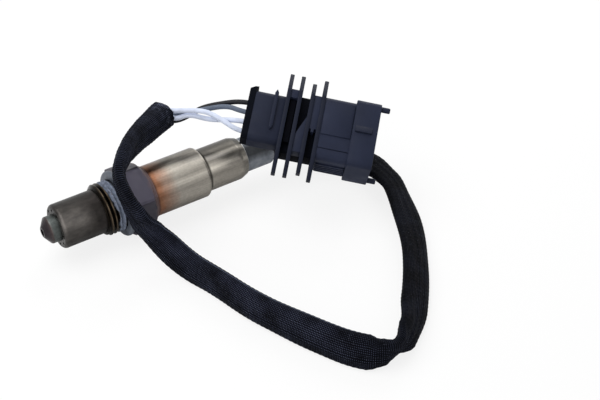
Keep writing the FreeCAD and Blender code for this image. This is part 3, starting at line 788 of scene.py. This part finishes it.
def plate(bm: bmesh.types.BMesh, outline: Sequence[Point], push: Point,
          soften: float = 0.12) -> None:
    """Flat shape pushed to a thickness, with bevelled edges.

    Args:
        bm: The mesh to add to.
        outline: Corners of the shape, in order.
        push: How far and which way it is pushed.
        soften: Width of the bevel.
    """
    face = bm.faces.new([bm.verts.new(point) for point in outline])
    made = bmesh.ops.extrude_face_region(bm, geom=[face], use_keep_orig=True)["geom"]
    moved = [item for item in made if isinstance(item, bmesh.types.BMVert)]
    bmesh.ops.translate(bm, verts=moved, vec=push)
    bevelled(bm, moved + list(face.verts), soften)


def bevelled(bm: bmesh.types.BMesh, verts: Iterable[bmesh.types.BMVert], width: float) -> None:
    """Turn the faces round some vertices outwards and bevel the edges between them."""
    kept = set(verts)
    edges = {edge for vert in kept for edge in vert.link_edges if edge.other_vert(vert) in kept}
    faces = {face for vert in kept for face in vert.link_faces}
    bmesh.ops.recalc_face_normals(bm, faces=list(faces))
    if width:
        rounded(bm, edges, width)


def carried(bm: bmesh.types.BMesh, edges: Sequence[bmesh.types.BMEdge],
            move: Matrix) -> tuple[list[bmesh.types.BMEdge], list[bmesh.types.BMVert]]:
    """Extrude a loop of edges and move the new end.

    Args:
        bm: The mesh to add to.
        edges: The loop.
        move: What carries the loop to its new place.

    Returns:
        The new loop's edges and vertices.
    """
    grown = bmesh.ops.extrude_edge_only(bm, edges=edges)["geom"]
    verts = [item for item in grown if isinstance(item, bmesh.types.BMVert)]
    ends = set(verts)
    loop = [item for item in grown if isinstance(item, bmesh.types.BMEdge)
            and all(vert in ends for vert in item.verts)]
    bmesh.ops.transform(bm, matrix=move, verts=verts)
    return loop, verts


def copied(node: str) -> bmesh.types.BMesh:
    """A CAD node's mesh in millimetres, with its loose triangles merged."""
    bm = bmesh.new()
    bm.from_mesh(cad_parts[node].data)
    bmesh.ops.scale(bm, vec=(1 / MM,) * 3, verts=bm.verts)
    bmesh.ops.remove_doubles(bm, verts=bm.verts, dist=0.002)
    return bm


# Stage


@dataclass
class Stage:
    """Camera, floor, world and lamps."""

    lens: float = 78.0
    sensor_width: float = 36.0
    elevation: float = 38.26
    azimuth: float = -33.84
    station: Point = (-137.3, -314.9, 268.4)
    floor_half: float = 1500.0
    middle: Point = (38.0, -42.0, 0.0)
    world_strength: float = 0.42
    floor_colour: Colour = (0.94, 0.94, 0.94)
    floor_glow: float = 0.82

    def build(self) -> None:
        """Make everything that isn't the object."""
        self.camera()
        self.floor()
        self.world()
        self.lamp("key", (-120, 60, 420), 400, 1.3)
        self.lamp("fill", (-330, -260, 180), 400, 0.6)
        self.lamp("back", (330, 200, 260), 320, 0.8)

    def camera(self) -> None:
        """Set the camera at the photograph's angle."""
        data = bpy.data.cameras.new("camera")
        data.lens = self.lens
        data.sensor_width = self.sensor_width
        data.sensor_fit = "HORIZONTAL"
        data.clip_start = 0.01
        camera = shown("camera", data)
        camera.location = Vector(self.station) * MM
        camera.rotation_euler = (math.radians(90 - self.elevation), 0, math.radians(self.azimuth))
        bpy.context.scene.camera = camera

    def floor(self) -> None:
        """Lay a white floor that keeps a faint shadow."""
        bm = bmesh.new()
        bmesh.ops.create_grid(bm, x_segments=1, y_segments=1, size=self.floor_half * MM)
        floor = shown("floor", meshed(bm, "floor"))
        floor.location = (0, 0, CAD_BOX[0][2])
        shader = Shader("floor")
        shader.feed(self.floor_colour)
        shader.feed(0.9, "Roughness")
        shader.feed(0.0, "Specular IOR Level")
        glow = shader.add("ShaderNodeEmission", strength=1.0)
        rays = shader.add("ShaderNodeLightPath").outputs
        mixed = shader.add("ShaderNodeMixShader")
        for value, socket in zip((shader.math("MULTIPLY", rays["Is Camera Ray"], self.floor_glow),
                                  shader.surface.outputs[0], glow.outputs[0]), mixed.inputs):
            shader.join(value, socket)
        shader.join(mixed.outputs[0], shader.nodes["Material Output"].inputs[0])
        floor.data.materials.append(shader.material)

    def world(self) -> None:
        """Light the object evenly and show white where a ray meets nothing."""
        world = bpy.data.worlds.new("world")
        world.use_nodes = True
        bpy.context.scene.world = world
        graph = Graph(world.node_tree)
        rays = graph.add("ShaderNodeLightPath").outputs
        seen = graph.math("MAXIMUM", rays["Is Camera Ray"], rays["Is Glossy Ray"])
        seen = graph.math("MAXIMUM", seen, rays["Is Transmission Ray"])
        back = graph.nodes["Background"]
        graph.join(WHITE, back.inputs[0])
        graph.join(graph.span(seen, 0.0, 1.0, self.world_strength, 1.0), back.inputs[1])

    def lamp(self, name: str, place: Point, size: float, power: float) -> None:
        """Hang a square lamp that faces the object's middle.

        Args:
            name: The lamp's name.
            place: Where it hangs, in millimetres.
            size: Its side, in millimetres.
            power: Its power in watts.
        """
        data = bpy.data.lights.new(name, "AREA")
        data.size = size * MM
        data.energy = power
        lamp = shown(name, data)
        lamp.location = Vector(place) * MM
        aim = Vector(self.middle) - Vector(place)
        lamp.rotation_euler = aim.to_track_quat("-Z", "Y").to_euler()


# Loom


def spline(name: str, points: Sequence[Point], radius: float = 0.0) -> bpy.types.Object:
    """Smooth cord whose control points are a route's points.

    Args:
        name: The curve's name.
        points: The route, in millimetres.
        radius: Half its thickness in millimetres, or 0 for a bare line.

    Returns:
        The curve object, which isn't linked to the scene.
    """
    curve = bpy.data.curves.new(name, "CURVE")
    curve.dimensions = "3D"
    curve.resolution_u = 12
    line = curve.splines.new("NURBS")
    line.points.add(len(points) - 1)
    for target, point in zip(line.points, points):
        target.co = (*(Vector(point) * MM), 1)
    line.order_u = 3
    line.use_endpoint_u = True
    curve.bevel_depth = radius * MM
    curve.bevel_resolution = 6
    curve.use_fill_caps = radius > 0
    return bpy.data.objects.new(name, curve)


def line_of(points: Sequence[Point]) -> list[Vector]:
    """Points along the smooth line of a route, in millimetres."""
    bare = spline("line", points)
    mesh = bpy.data.meshes.new_from_object(bare)
    found = [vert.co / MM for vert in mesh.vertices]
    bpy.data.meshes.remove(mesh)
    bpy.data.curves.remove(bare.data)
    return found


def evenly(line: Sequence[Vector], step: float) -> list[Vector]:
    """The line again, with points about a step apart."""
    reach = [0.0]
    for start, end in zip(line, line[1:]):
        reach.append(reach[-1] + (end - start).length)
    count = max(2, round(reach[-1] / step))
    places, index = [], 0
    for number in range(count + 1):
        at = reach[-1] * number / count
        while index < len(line) - 2 and reach[index + 1] < at:
            index += 1
        share = (at - reach[index]) / max(1e-9, reach[index + 1] - reach[index])
        places.append(line[index].lerp(line[index + 1], min(1.0, share)))
    return places


@dataclass
class Station:
    """How the braided sleeve is shaped at one place along it."""

    share: float
    across: Point
    width: float
    thickness: float


@dataclass
class BraidedSleeve:
    """Flat braided sleeve over the four leads, from the grommet round to its open mouth."""

    route: list[Point] = field(default_factory=lambda: [
        (59.4, 0, 0), (67.2, 0, 0), (78.2, -4.5, -4.8), (88.8, -13.8, -8.6), (91.9, -29.3, -8.4),
        (85.4, -46.2, -7.8), (77.3, -62.1, -7.4), (66.8, -77.5, -7.2), (54.1, -92.1, -7.1),
        (46, -98.9, -7.1), (36.8, -100.5, -7.1), (30.4, -93.9, -7.1), (25.6, -84.6, -7.1),
        (19.9, -71.6, -7.1), (15.3, -59.2, -7.1), (12.2, -44.9, -7.1), (8.1, -31.8, -7.1),
        (3.6, -20.5, -0.5), (-2.7, -20.4, 11), (-3.8, -11.7, 20.5), (3.0, -4.6, 22.5),
        (11.4, 3.9, 19.7), (20.3, 10.2, 18), (26.8, 13.6, 18)])
    stations: list[Station] = field(default_factory=lambda: [Station(*row) for row in (
        (0.0, (0, -1, 0), 8.8, 8.2),
        (0.05, (-0.3, -0.95, 0), 9.0, 6.6),
        (0.1, (-0.85, -0.45, 0.1), 11.6, 5.4),
        (0.135, (-0.98, -0.12, 0.1), 11.6, 4.8),
        (0.165, (-0.93, 0.14, 0.3), 10.2, 4.2),
        (0.2, (-0.78, 0.34, 0.52), 9.8, 3.9),
        (0.25, (-0.77, 0.42, 0.48), 10.5, 4.1),
        (0.33, (-0.58, 0.44, 0.69), 10.6, 4.2),
        (0.4, (-0.5, 0.47, 0.72), 10.8, 4.2),
        (0.445, (-0.12, 0.32, 0.94), 10.6, 4.2),
        (0.468, (0, -0.35, 0.94), 8.0, 3.7),
        (0.485, (0.2, 0.1, 0.97), 9.2, 4.0),
        (0.5, (0.32, 0.2, 0.92), 11.2, 4.2),
        (0.56, (0.32, 0.12, 0.94), 10.9, 4.2),
        (0.62, (0.28, 0.1, 0.95), 10.1, 4.2),
        (0.7, (0.2, 0.06, 0.98), 10.2, 4.2),
        (0.755, (0.43, -0.19, 0.88), 10.4, 4.2),
        (0.79, (0.43, -0.66, 0.62), 10.2, 4.2),
        (0.82, (0.22, -0.89, 0.39), 9.8, 4.2),
        (0.842, (-0.09, -0.85, 0.52), 9.4, 4.0),
        (0.866, (-0.25, -0.61, 0.76), 9.0, 3.9),
        (0.897, (0.02, -0.2, 0.98), 9.4, 4.4),
        (0.92, (0.06, 0, 1), 9.6, 4.9),
        (0.941, (0.05, 0, 1), 9.7, 6.0),
        (0.968, (0, 0, 1), 9.6, 7.8),
        (1.0, (0, 0, 1), 9.4, 9.2))])
    length: float = 296.1
    declared_width: float = 10.4
    step: float = 0.42
    around: int = 64
    strand: float = 1.1
    relief: float = 0.1
    lobe: float = 0.14
    inside: float = 7.0
    squareness: float = 2.6

    def build(self) -> bpy.types.Object:
        centre = evenly(line_of(self.route), self.step)
        bm = bmesh.new()
        layer = bm.loops.layers.uv.new("braid")
        marks: dict[bmesh.types.BMVert, tuple[float, float]] = {}
        strands = 2 * round((self.declared_width + 4) / self.strand)
        frames = self.frames(centre)
        verts = bmesh.ops.create_circle(bm, segments=self.around, radius=1,
                                        matrix=frames[0])["verts"]
        edges = list({edge for vert in verts for edge in vert.link_edges})
        for index, matrix in enumerate(frames):
            inverse = matrix.inverted()
            if index:
                edges, verts = carried(bm, edges, matrix @ frames[index - 1].inverted())
            for vert in verts:
                local = inverse @ vert.co
                turn = math.atan2(local.y, local.x) / math.tau % 1.0
                marks[vert] = (turn * strands, index * self.step / self.strand)
        self.weave(marks, frames)
        for face in bm.faces:
            values = [marks[loop.vert] for loop in face.loops]
            high = max(value[0] for value in values)
            for loop, (around, along) in zip(face.loops, values):
                loop[layer].uv = (around + strands * (high - around > strands / 2), along)
        self.mouth(bm, edges, frames)
        bmesh.ops.holes_fill(bm, edges=[edge for edge in bm.edges if edge.is_boundary], sides=0)
        piece = finished(bm, "braided_sleeve_yarn", "braid_black",
                         ["braided_sleeve"], 70)
        LOG.info("braided sleeve: %d rings", len(centre))
        return piece

    def frames(self, centre: Sequence[Vector]) -> list[Matrix]:
        """Place, turn and size of the sleeve's section at each point of its line."""
        found = []
        last = len(centre) - 1
        for index, point in enumerate(centre):
            ahead = (centre[min(last, index + 1)] - centre[max(0, index - 1)]).normalized()
            share = index / last
            low = max(station for station in range(len(self.stations) - 1)
                      if self.stations[station].share <= share)
            first, second = self.stations[low], self.stations[low + 1]
            blend = (share - first.share) / (second.share - first.share)
            blend = blend * blend * (3 - 2 * blend)
            across = Vector(first.across).normalized().lerp(
                Vector(second.across).normalized(), blend)
            across = (across - ahead * across.dot(ahead)).normalized()
            flat = ahead.cross(across)
            width = first.width + (second.width - first.width) * blend
            thick = first.thickness + (second.thickness - first.thickness) * blend
            turn = Matrix((across, flat, ahead)).transposed().to_4x4()
            size = Matrix.Diagonal((width / 2, thick / 2, 1, 1))
            found.append(Matrix.Translation(point) @ turn @ size)
        return found

    def weave(self, marks: dict[bmesh.types.BMVert, tuple[float, float]],
              frames: Sequence[Matrix]) -> None:
        """Square the section a little, and raise the strands and the four leads below them.

        Args:
            marks: Each vertex with its count of strands round and along the sleeve.
            frames: The section's matrix at each point of the line.
        """
        for vert, (around, along) in marks.items():
            index = min(len(frames) - 1, round(along * self.strand / self.step))
            matrix = frames[index]
            local = matrix.inverted() @ vert.co
            angle = math.atan2(local.y, local.x)
            fuller = sum(abs(way(angle)) ** self.squareness
                         for way in (math.cos, math.sin)) ** (-1 / self.squareness)
            local.x, local.y = math.cos(angle) * fuller, math.sin(angle) * fuller
            out = Vector((local.x, local.y, 0))
            place = matrix @ local
            away = (matrix.to_3x3() @ out).normalized()
            crossing = math.cos(math.tau * (around + along)) * math.cos(
                math.tau * (around - along))
            leads = math.cos(4 * math.pi * local.x) * abs(math.sin(angle)) * self.lobe
            vert.co = place + away * (self.relief * crossing + leads)

    def mouth(self, bm: bmesh.types.BMesh, edges: Sequence[bmesh.types.BMEdge],
              frames: Sequence[Matrix]) -> None:
        """Turn the open end in and run its inner wall back along the leads.

        Args:
            bm: The sleeve's mesh.
            edges: The edges of its last ring.
            frames: The section's matrix at each point of the line.
        """
        inward = Matrix.Diagonal((0.87, 0.86, 1, 1))
        before = frames[-1]
        for share in (0.0, 0.1, 0.4, 0.7, 1.0):
            after = frames[-1 - round(self.inside * share / self.step)] @ inward
            edges, _ = carried(bm, edges, after @ before.inverted())
            before = after


@dataclass
class Lead:
    """One lead from the sleeve's mouth to the plug."""

    name: str
    finish: str
    route: list[Point]
    length: float
    radius: float = 0.85

    def build(self) -> bpy.types.Object:
        piece = spline(self.name + "_skin", self.route, self.radius)
        bpy.context.scene.collection.objects.link(piece)
        piece.data.materials.append(Paintbox.get(self.finish))
        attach(piece, BODY)
        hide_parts(self.name)
        LOG.info("%s: %d points", self.name, len(self.route))
        return piece


# Sensor


@dataclass
class Shell:
    """Threaded shell with its hexagon."""

    front: float = -6.7
    radius: float = 9.0
    pitch: float = 1.5
    depth: float = 0.86
    chamfer: float = 1.0
    runout: float = 0.7
    undercut: float = 8.2
    bore: float = 7.65
    split: float = 1.2
    overlap: float = 2.6
    steps: int = 120
    row: float = 0.125
    edge: float = 0.22

    def build(self) -> None:
        """Make the thread and the hexagon."""
        self.thread()
        self.hexagon()

    def thread(self) -> None:
        """Cut the thread's turns in a spun blank."""
        rows = round(-self.front / self.row)
        outline = [(self.front, self.bore), (self.front, self.radius - self.chamfer)]
        outline += [(self.front + self.row * index, self.radius) for index in range(1, rows)]
        outline += [(0, self.undercut), (self.overlap, self.undercut), (self.overlap, self.bore)]
        bm = bmesh.new()
        made = turned(bm, outline, self.steps)
        for vert in made:
            reach = math.hypot(vert.co.y, vert.co.z)
            if reach < self.undercut + 0.02 or vert.co.x <= self.front:
                continue
            turn = math.atan2(vert.co.z, vert.co.y) / math.tau
            phase = (vert.co.x / self.pitch - turn) % 1.0
            groove = min(1.0, max(0.0, (0.5 - abs(phase - 0.5)) * 2.6 - 0.18))
            wanted = self.radius - self.depth * groove
            wanted = min(wanted, self.radius - self.chamfer + (vert.co.x - self.front))
            wanted = min(wanted, self.undercut + max(0.0, -vert.co.x) * 2.4)
            vert.co.y *= wanted / reach
            vert.co.z *= wanted / reach
        finished(bm, "thread_turns", "thread_steel")

    def hexagon(self) -> None:
        """Copy the hexagon from the shell's solid, without its plain thread."""
        bm = copied("threaded_hex_shell")
        bmesh.ops.bisect_plane(bm, geom=list(bm.verts) + list(bm.edges) + list(bm.faces),
                               plane_co=(self.split, 0, 0), plane_no=(1, 0, 0),
                               clear_inner=True, dist=0.0005)
        cut = [edge for edge in bm.edges if edge.is_boundary]
        bmesh.ops.bridge_loops(bm, edges=cut)
        bmesh.ops.dissolve_limit(bm, angle_limit=math.radians(1.0), verts=bm.verts,
                                 edges=bm.edges)
        rounded(bm, [edge for edge in bm.edges if edge.is_manifold and edge.calc_length() > 2.0
                     and edge.calc_face_angle() > math.radians(40)], self.edge, 3)
        finished(bm, "hexagon_body", "shell_steel", ["threaded_hex_shell"], 30)


@dataclass
class Sensor:
    """The sensor's own pieces that keep their solids and get finishes."""

    finishes: dict[str, str] = field(default_factory=lambda: {
        "outer_protection_tube": "probe_steel",
        "inner_protection_tube": "dome_steel",
        "gasket_ring": "gasket_steel",
        "clamp_ring": "gasket_steel",
        "protective_sleeve": "sleeve_steel",
        "sensing_element": "zirconia",
        "front_ceramic_bush": "ceramic",
        "rear_ceramic_bush": "ceramic",
        "contact_holder": "ceramic",
        "powder_seal": "talc",
        "contact_spring_ring": "contact_nickel",
        "grommet": "grommet_rubber"})
    leads: dict[str, str] = field(default_factory=lambda: {
        "black": "wire_black", "grey": "wire_grey",
        "white_1": "wire_white", "white_2": "wire_white"})

    def build(self) -> None:
        """Dress each solid."""
        dressed = dict(self.finishes)
        for name, finish in self.leads.items():
            dressed["sensor_lead_" + name] = finish
        for number in range(1, 5):
            dressed[f"contact_clip_{number}"] = "contact_nickel"
            dressed[f"terminal_pin_{number}"] = "terminal_brass"
            dressed[f"wire_seal_{number}"] = "seal_rubber"
        dressed["terminal_lock"] = "lock_plastic"
        dressed["rear_cover"] = "cover_plastic"
        for node, finish in dressed.items():
            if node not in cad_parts:
                LOG.warning("no node %s", node)
                continue
            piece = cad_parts[node]
            piece.data.materials.clear()
            piece.data.materials.append(Paintbox.get(finish))
            LOG.info("%s wears %s", node, finish)


# Plug


@dataclass
class Plug:
    """Plug housing, built in its own axes: mating end towards +x, latch side up."""

    origin: Point = (81.7, -33.05, 11.2)
    yaw: float = -40.1
    pitch: float = 9.6
    roll: float = 28.5
    collar_rear: float = -8.4
    front_rear: float = -18.9
    middle_rear: float = -32.3
    rear_rear: float = -42.3
    fins: tuple[tuple[float, float, float], ...] = (
        (-31.5, 19.0, 18.2), (-27.6, 19.0, 18.2), (-23.4, 17.3, 16.2), (-19.6, 19.0, 18.2))
    fin_thickness: float = 1.4
    fin_top: float = 6.7
    fin_root: float = 11.2
    middle_half: float = 10.9
    web_top: float = 6.2

    def place(self) -> Matrix:
        """Where the plug's axes lie."""
        turn = (Matrix.Rotation(math.radians(self.yaw), 4, "Z")
                @ Matrix.Rotation(math.radians(self.pitch), 4, "Y")
                @ Matrix.Rotation(math.radians(self.roll), 4, "X"))
        return Matrix.Translation(self.origin) @ turn

    def build(self) -> None:
        """Make the housing, with painted shade per part, and its core between the fins, which
        wears the darker cover plastic as painted shade.
        """
        bm = bmesh.new()
        # Painted shade: each part's faces get a level, lowest for the fins, then the rear body,
        # the latch, the webs and the mouth.
        layer = bm.faces.layers.float.new("shade_tone")
        for make, shade_tone in ((self.mouth, 0.92), (self.front, 1.0), (self.rear, 0.74),
                           (self.fin_row, 0.52), (self.webs, 0.9), (self.latch, 0.75)):
            known = set(bm.faces)
            make(bm)
            for face in bm.faces:
                if face not in known:
                    face[layer] = shade_tone
        bmesh.ops.transform(bm, matrix=self.place(), verts=bm.verts)
        finished(bm, "plug_housing", "plug_plastic", ["connector_housing"], 35)
        # The middle body between the fins wears the darker cover plastic as painted shade.
        shaded_core = bmesh.new()
        section = ((-self.middle_half, self.middle_half), (-3.2, 3.4), 0.9)
        stacked(shaded_core, [(self.middle_rear + 0.1, *section), (self.front_rear + 0.2, *section)],
                0.15)
        bmesh.ops.transform(shaded_core, matrix=self.place(), verts=shaded_core.verts)
        finished(shaded_core, "plug_core_shaded", "cover_plastic", (), 35)

    def mouth(self, bm: bmesh.types.BMesh) -> None:
        """Collar, the front body's shell and the socket inside them."""
        body = ((-11.3, 11.3), (-6.4, 6.05), 1.9)
        collar = ((-12.3, 12.3), (-7.9, 7.9), 2.2)
        opening = ((-10.7, 10.7), (-6.2, 6.2), 1.2)
        socket = ((-9.5, 9.5), (-5.2, 5.2), 1.0)
        ledge, floor = -7.0, -16.5
        stacked(bm, [(self.front_rear, *body), (self.collar_rear, *body),
                     (self.collar_rear, *collar), (0.0, *collar), (0.0, *opening),
                     (ledge, *opening), (ledge, *socket), (floor, *socket)], 0.22)

    def front(self, bm: bmesh.types.BMesh) -> None:
        """Skin of the front body, parted by a groove, with its panel and grip ridges."""
        low, length = self.front_rear, self.collar_rear - self.front_rear
        # Skin from the groove round each long edge
        for side, inner in ((1, -7.72), (-1, -8.08)):
            outline = [(low, inner, 5.0), (low, inner, 6.4)]
            for step in range(7):
                angle = math.radians(90 - 15 * step)
                outline.append((low, side * (9.4 + 2.2 * math.cos(angle)),
                                4.2 + 2.2 * math.sin(angle)))
            outline += [(low, side * 11.6, 2.8), (low, side * 10.9, 2.8), (low, side * 10.9, 5.0)]
            plate(bm, outline, (length, 0, 0), 0.0)
        box(bm, (low + 0.2, self.collar_rear - 0.25), (-2.8, 9.4), (6.0, 6.8), 0.14)
        for index in range(5):
            bottom = -4.6 + 1.3 * index
            box(bm, (low + 0.5, self.collar_rear - 0.2), (-11.75, -11.0), (bottom, bottom + 0.7))

    def rear(self, bm: bmesh.types.BMesh) -> None:
        """Rear body with its pointed rib."""
        section = ((-9.3, 9.3), (-2.2, 5.6), 2.2)
        stacked(bm, [(self.rear_rear, *section), (self.middle_rear + 0.5, *section)], 0.25)
        rib = ((-35.4, -4.9), (-36.05, -3.6), (-36.05, 8.9), (-35.4, 10.2), (-34.75, 8.9),
               (-34.75, -3.6))
        plate(bm, [(x, y, 5.2) for x, y in rib], (0, 0, 1.5), 0.22)

    def fin_row(self, bm: bmesh.types.BMesh) -> None:
        """Four fins that reach past both sides."""
        root = self.fin_root
        for x, near, far in self.fins:
            low = x - self.fin_thickness / 2
            outline = ((-near, 1.2), (-near, 4.0), (-root, self.fin_top), (root, self.fin_top),
                       (far, 4.0), (far, 1.2), (root, -2.0), (-root, -2.0))
            plate(bm, [(low, y, z) for y, z in outline], (self.fin_thickness, 0, 0), 0.2)

    def webs(self, bm: bmesh.types.BMesh) -> None:
        """Ties between the fins: a bridge, a slanting wall and a plate with its lug."""
        top, half = self.web_top, self.middle_half
        box(bm, (-31.0, -28.0), (8.4, 11.6), (-1.0, top))
        plate(bm, [(-27.1, -half, top), (-23.9, -half, top), (-23.9, 3.0, top),
                   (-27.1, -5.0, top)], (0, 0, -4.0))
        plate(bm, [(-23.0, -1.6, top), (-20.0, -1.6, top), (-20.0, half, top),
                   (-23.0, half, top)], (0, 0, -4.0))
        box(bm, (-22.0, -21.0), (-2.8, -1.4), (3.2, top))

    def latch(self, bm: bmesh.types.BMesh) -> None:
        """Latch wedge and the two pegs on the rim."""
        wedge = ((-0.3, 7.4), (2.3, 7.4), (2.3, 7.9), (-0.3, 8.7))
        plate(bm, [(-7.6, y, z) for y, z in wedge],
              (5.7, 0, 0))
        for side in (1, -1):
            place = Matrix.Translation((1.3, 10.5 * side, 6.1 * side)) @ Matrix.Rotation(
                math.pi / 2, 4, "Y")
            made = bmesh.ops.create_cone(bm, segments=24, radius1=0.95, radius2=0.95, depth=3.4,
                                         cap_ends=True, matrix=place)["verts"]
            rounded(bm, [edge for edge in {edge for vert in made for edge in vert.link_edges}
                         if edge.calc_face_angle(0) > 1], 0.35, 3)


def leads() -> list[Lead]:
    """The four leads between the sleeve's mouth and the plug, with their routes."""
    return [
        Lead("plug_lead_black", "wire_black", [
            (24.66, 11.1, 16.2), (27.95, 11.93, 16), (31.43, 11.54, 14.9), (34.98, 9.16, 17.25),
            (39.16, 8.03, 19.66), (46.65, 1.96, 22.26), (49.98, -1.2, 22.9),
            (53.83, -4.44, 22.05), (59.71, -9.39, 20.75)], 43.9),
        Lead("plug_lead_grey", "wire_grey", [
            (23.5, 13.3, 17.6), (27.1, 13.5, 17.8), (31.24, 12.36, 16.9), (34.37, 8.02, 19),
            (38.53, 5.66, 20.27), (44.93, 1.1, 21.93), (47.73, -3.43, 21.21),
            (51.57, -6.67, 20.36), (57.46, -11.63, 19.06)], 44.3),
        Lead("plug_lead_white_1", "wire_white", [
            (24.84, 10.75, 18.3), (28.23, 11.39, 17.9), (29.94, 9.5, 17.4), (32.76, 5.76, 20.5),
            (37.56, 0.81, 19.16), (42.65, -3.12, 19.42), (45.47, -5.67, 19.51),
            (49.32, -8.91, 18.66), (55.2, -13.86, 17.36)], 41.0),
        Lead("plug_lead_white_2", "wire_white", [
            (24.2, 12, 20.2), (27.58, 12.64, 20.3), (29.77, 10.93, 20), (32.86, 5.05, 22.4),
            (37.39, 0.89, 22.51), (40.74, -4.37, 19.99), (43.21, -7.91, 17.82),
            (47.06, -11.14, 16.97), (52.94, -16.1, 15.67)], 43.2),
    ]


def main() -> None:
    """Build the stage and the object, piece by piece."""
    logging.basicConfig(level=logging.INFO, format="%(message)s")
    bpy.context.scene.view_settings.view_transform = "Standard"
    Stage().build()
    BraidedSleeve().build()
    for lead in leads():
        lead.build()
    Shell().build()
    Sensor().build()
    Plug().build()


if __name__ == "__main__":
    main()
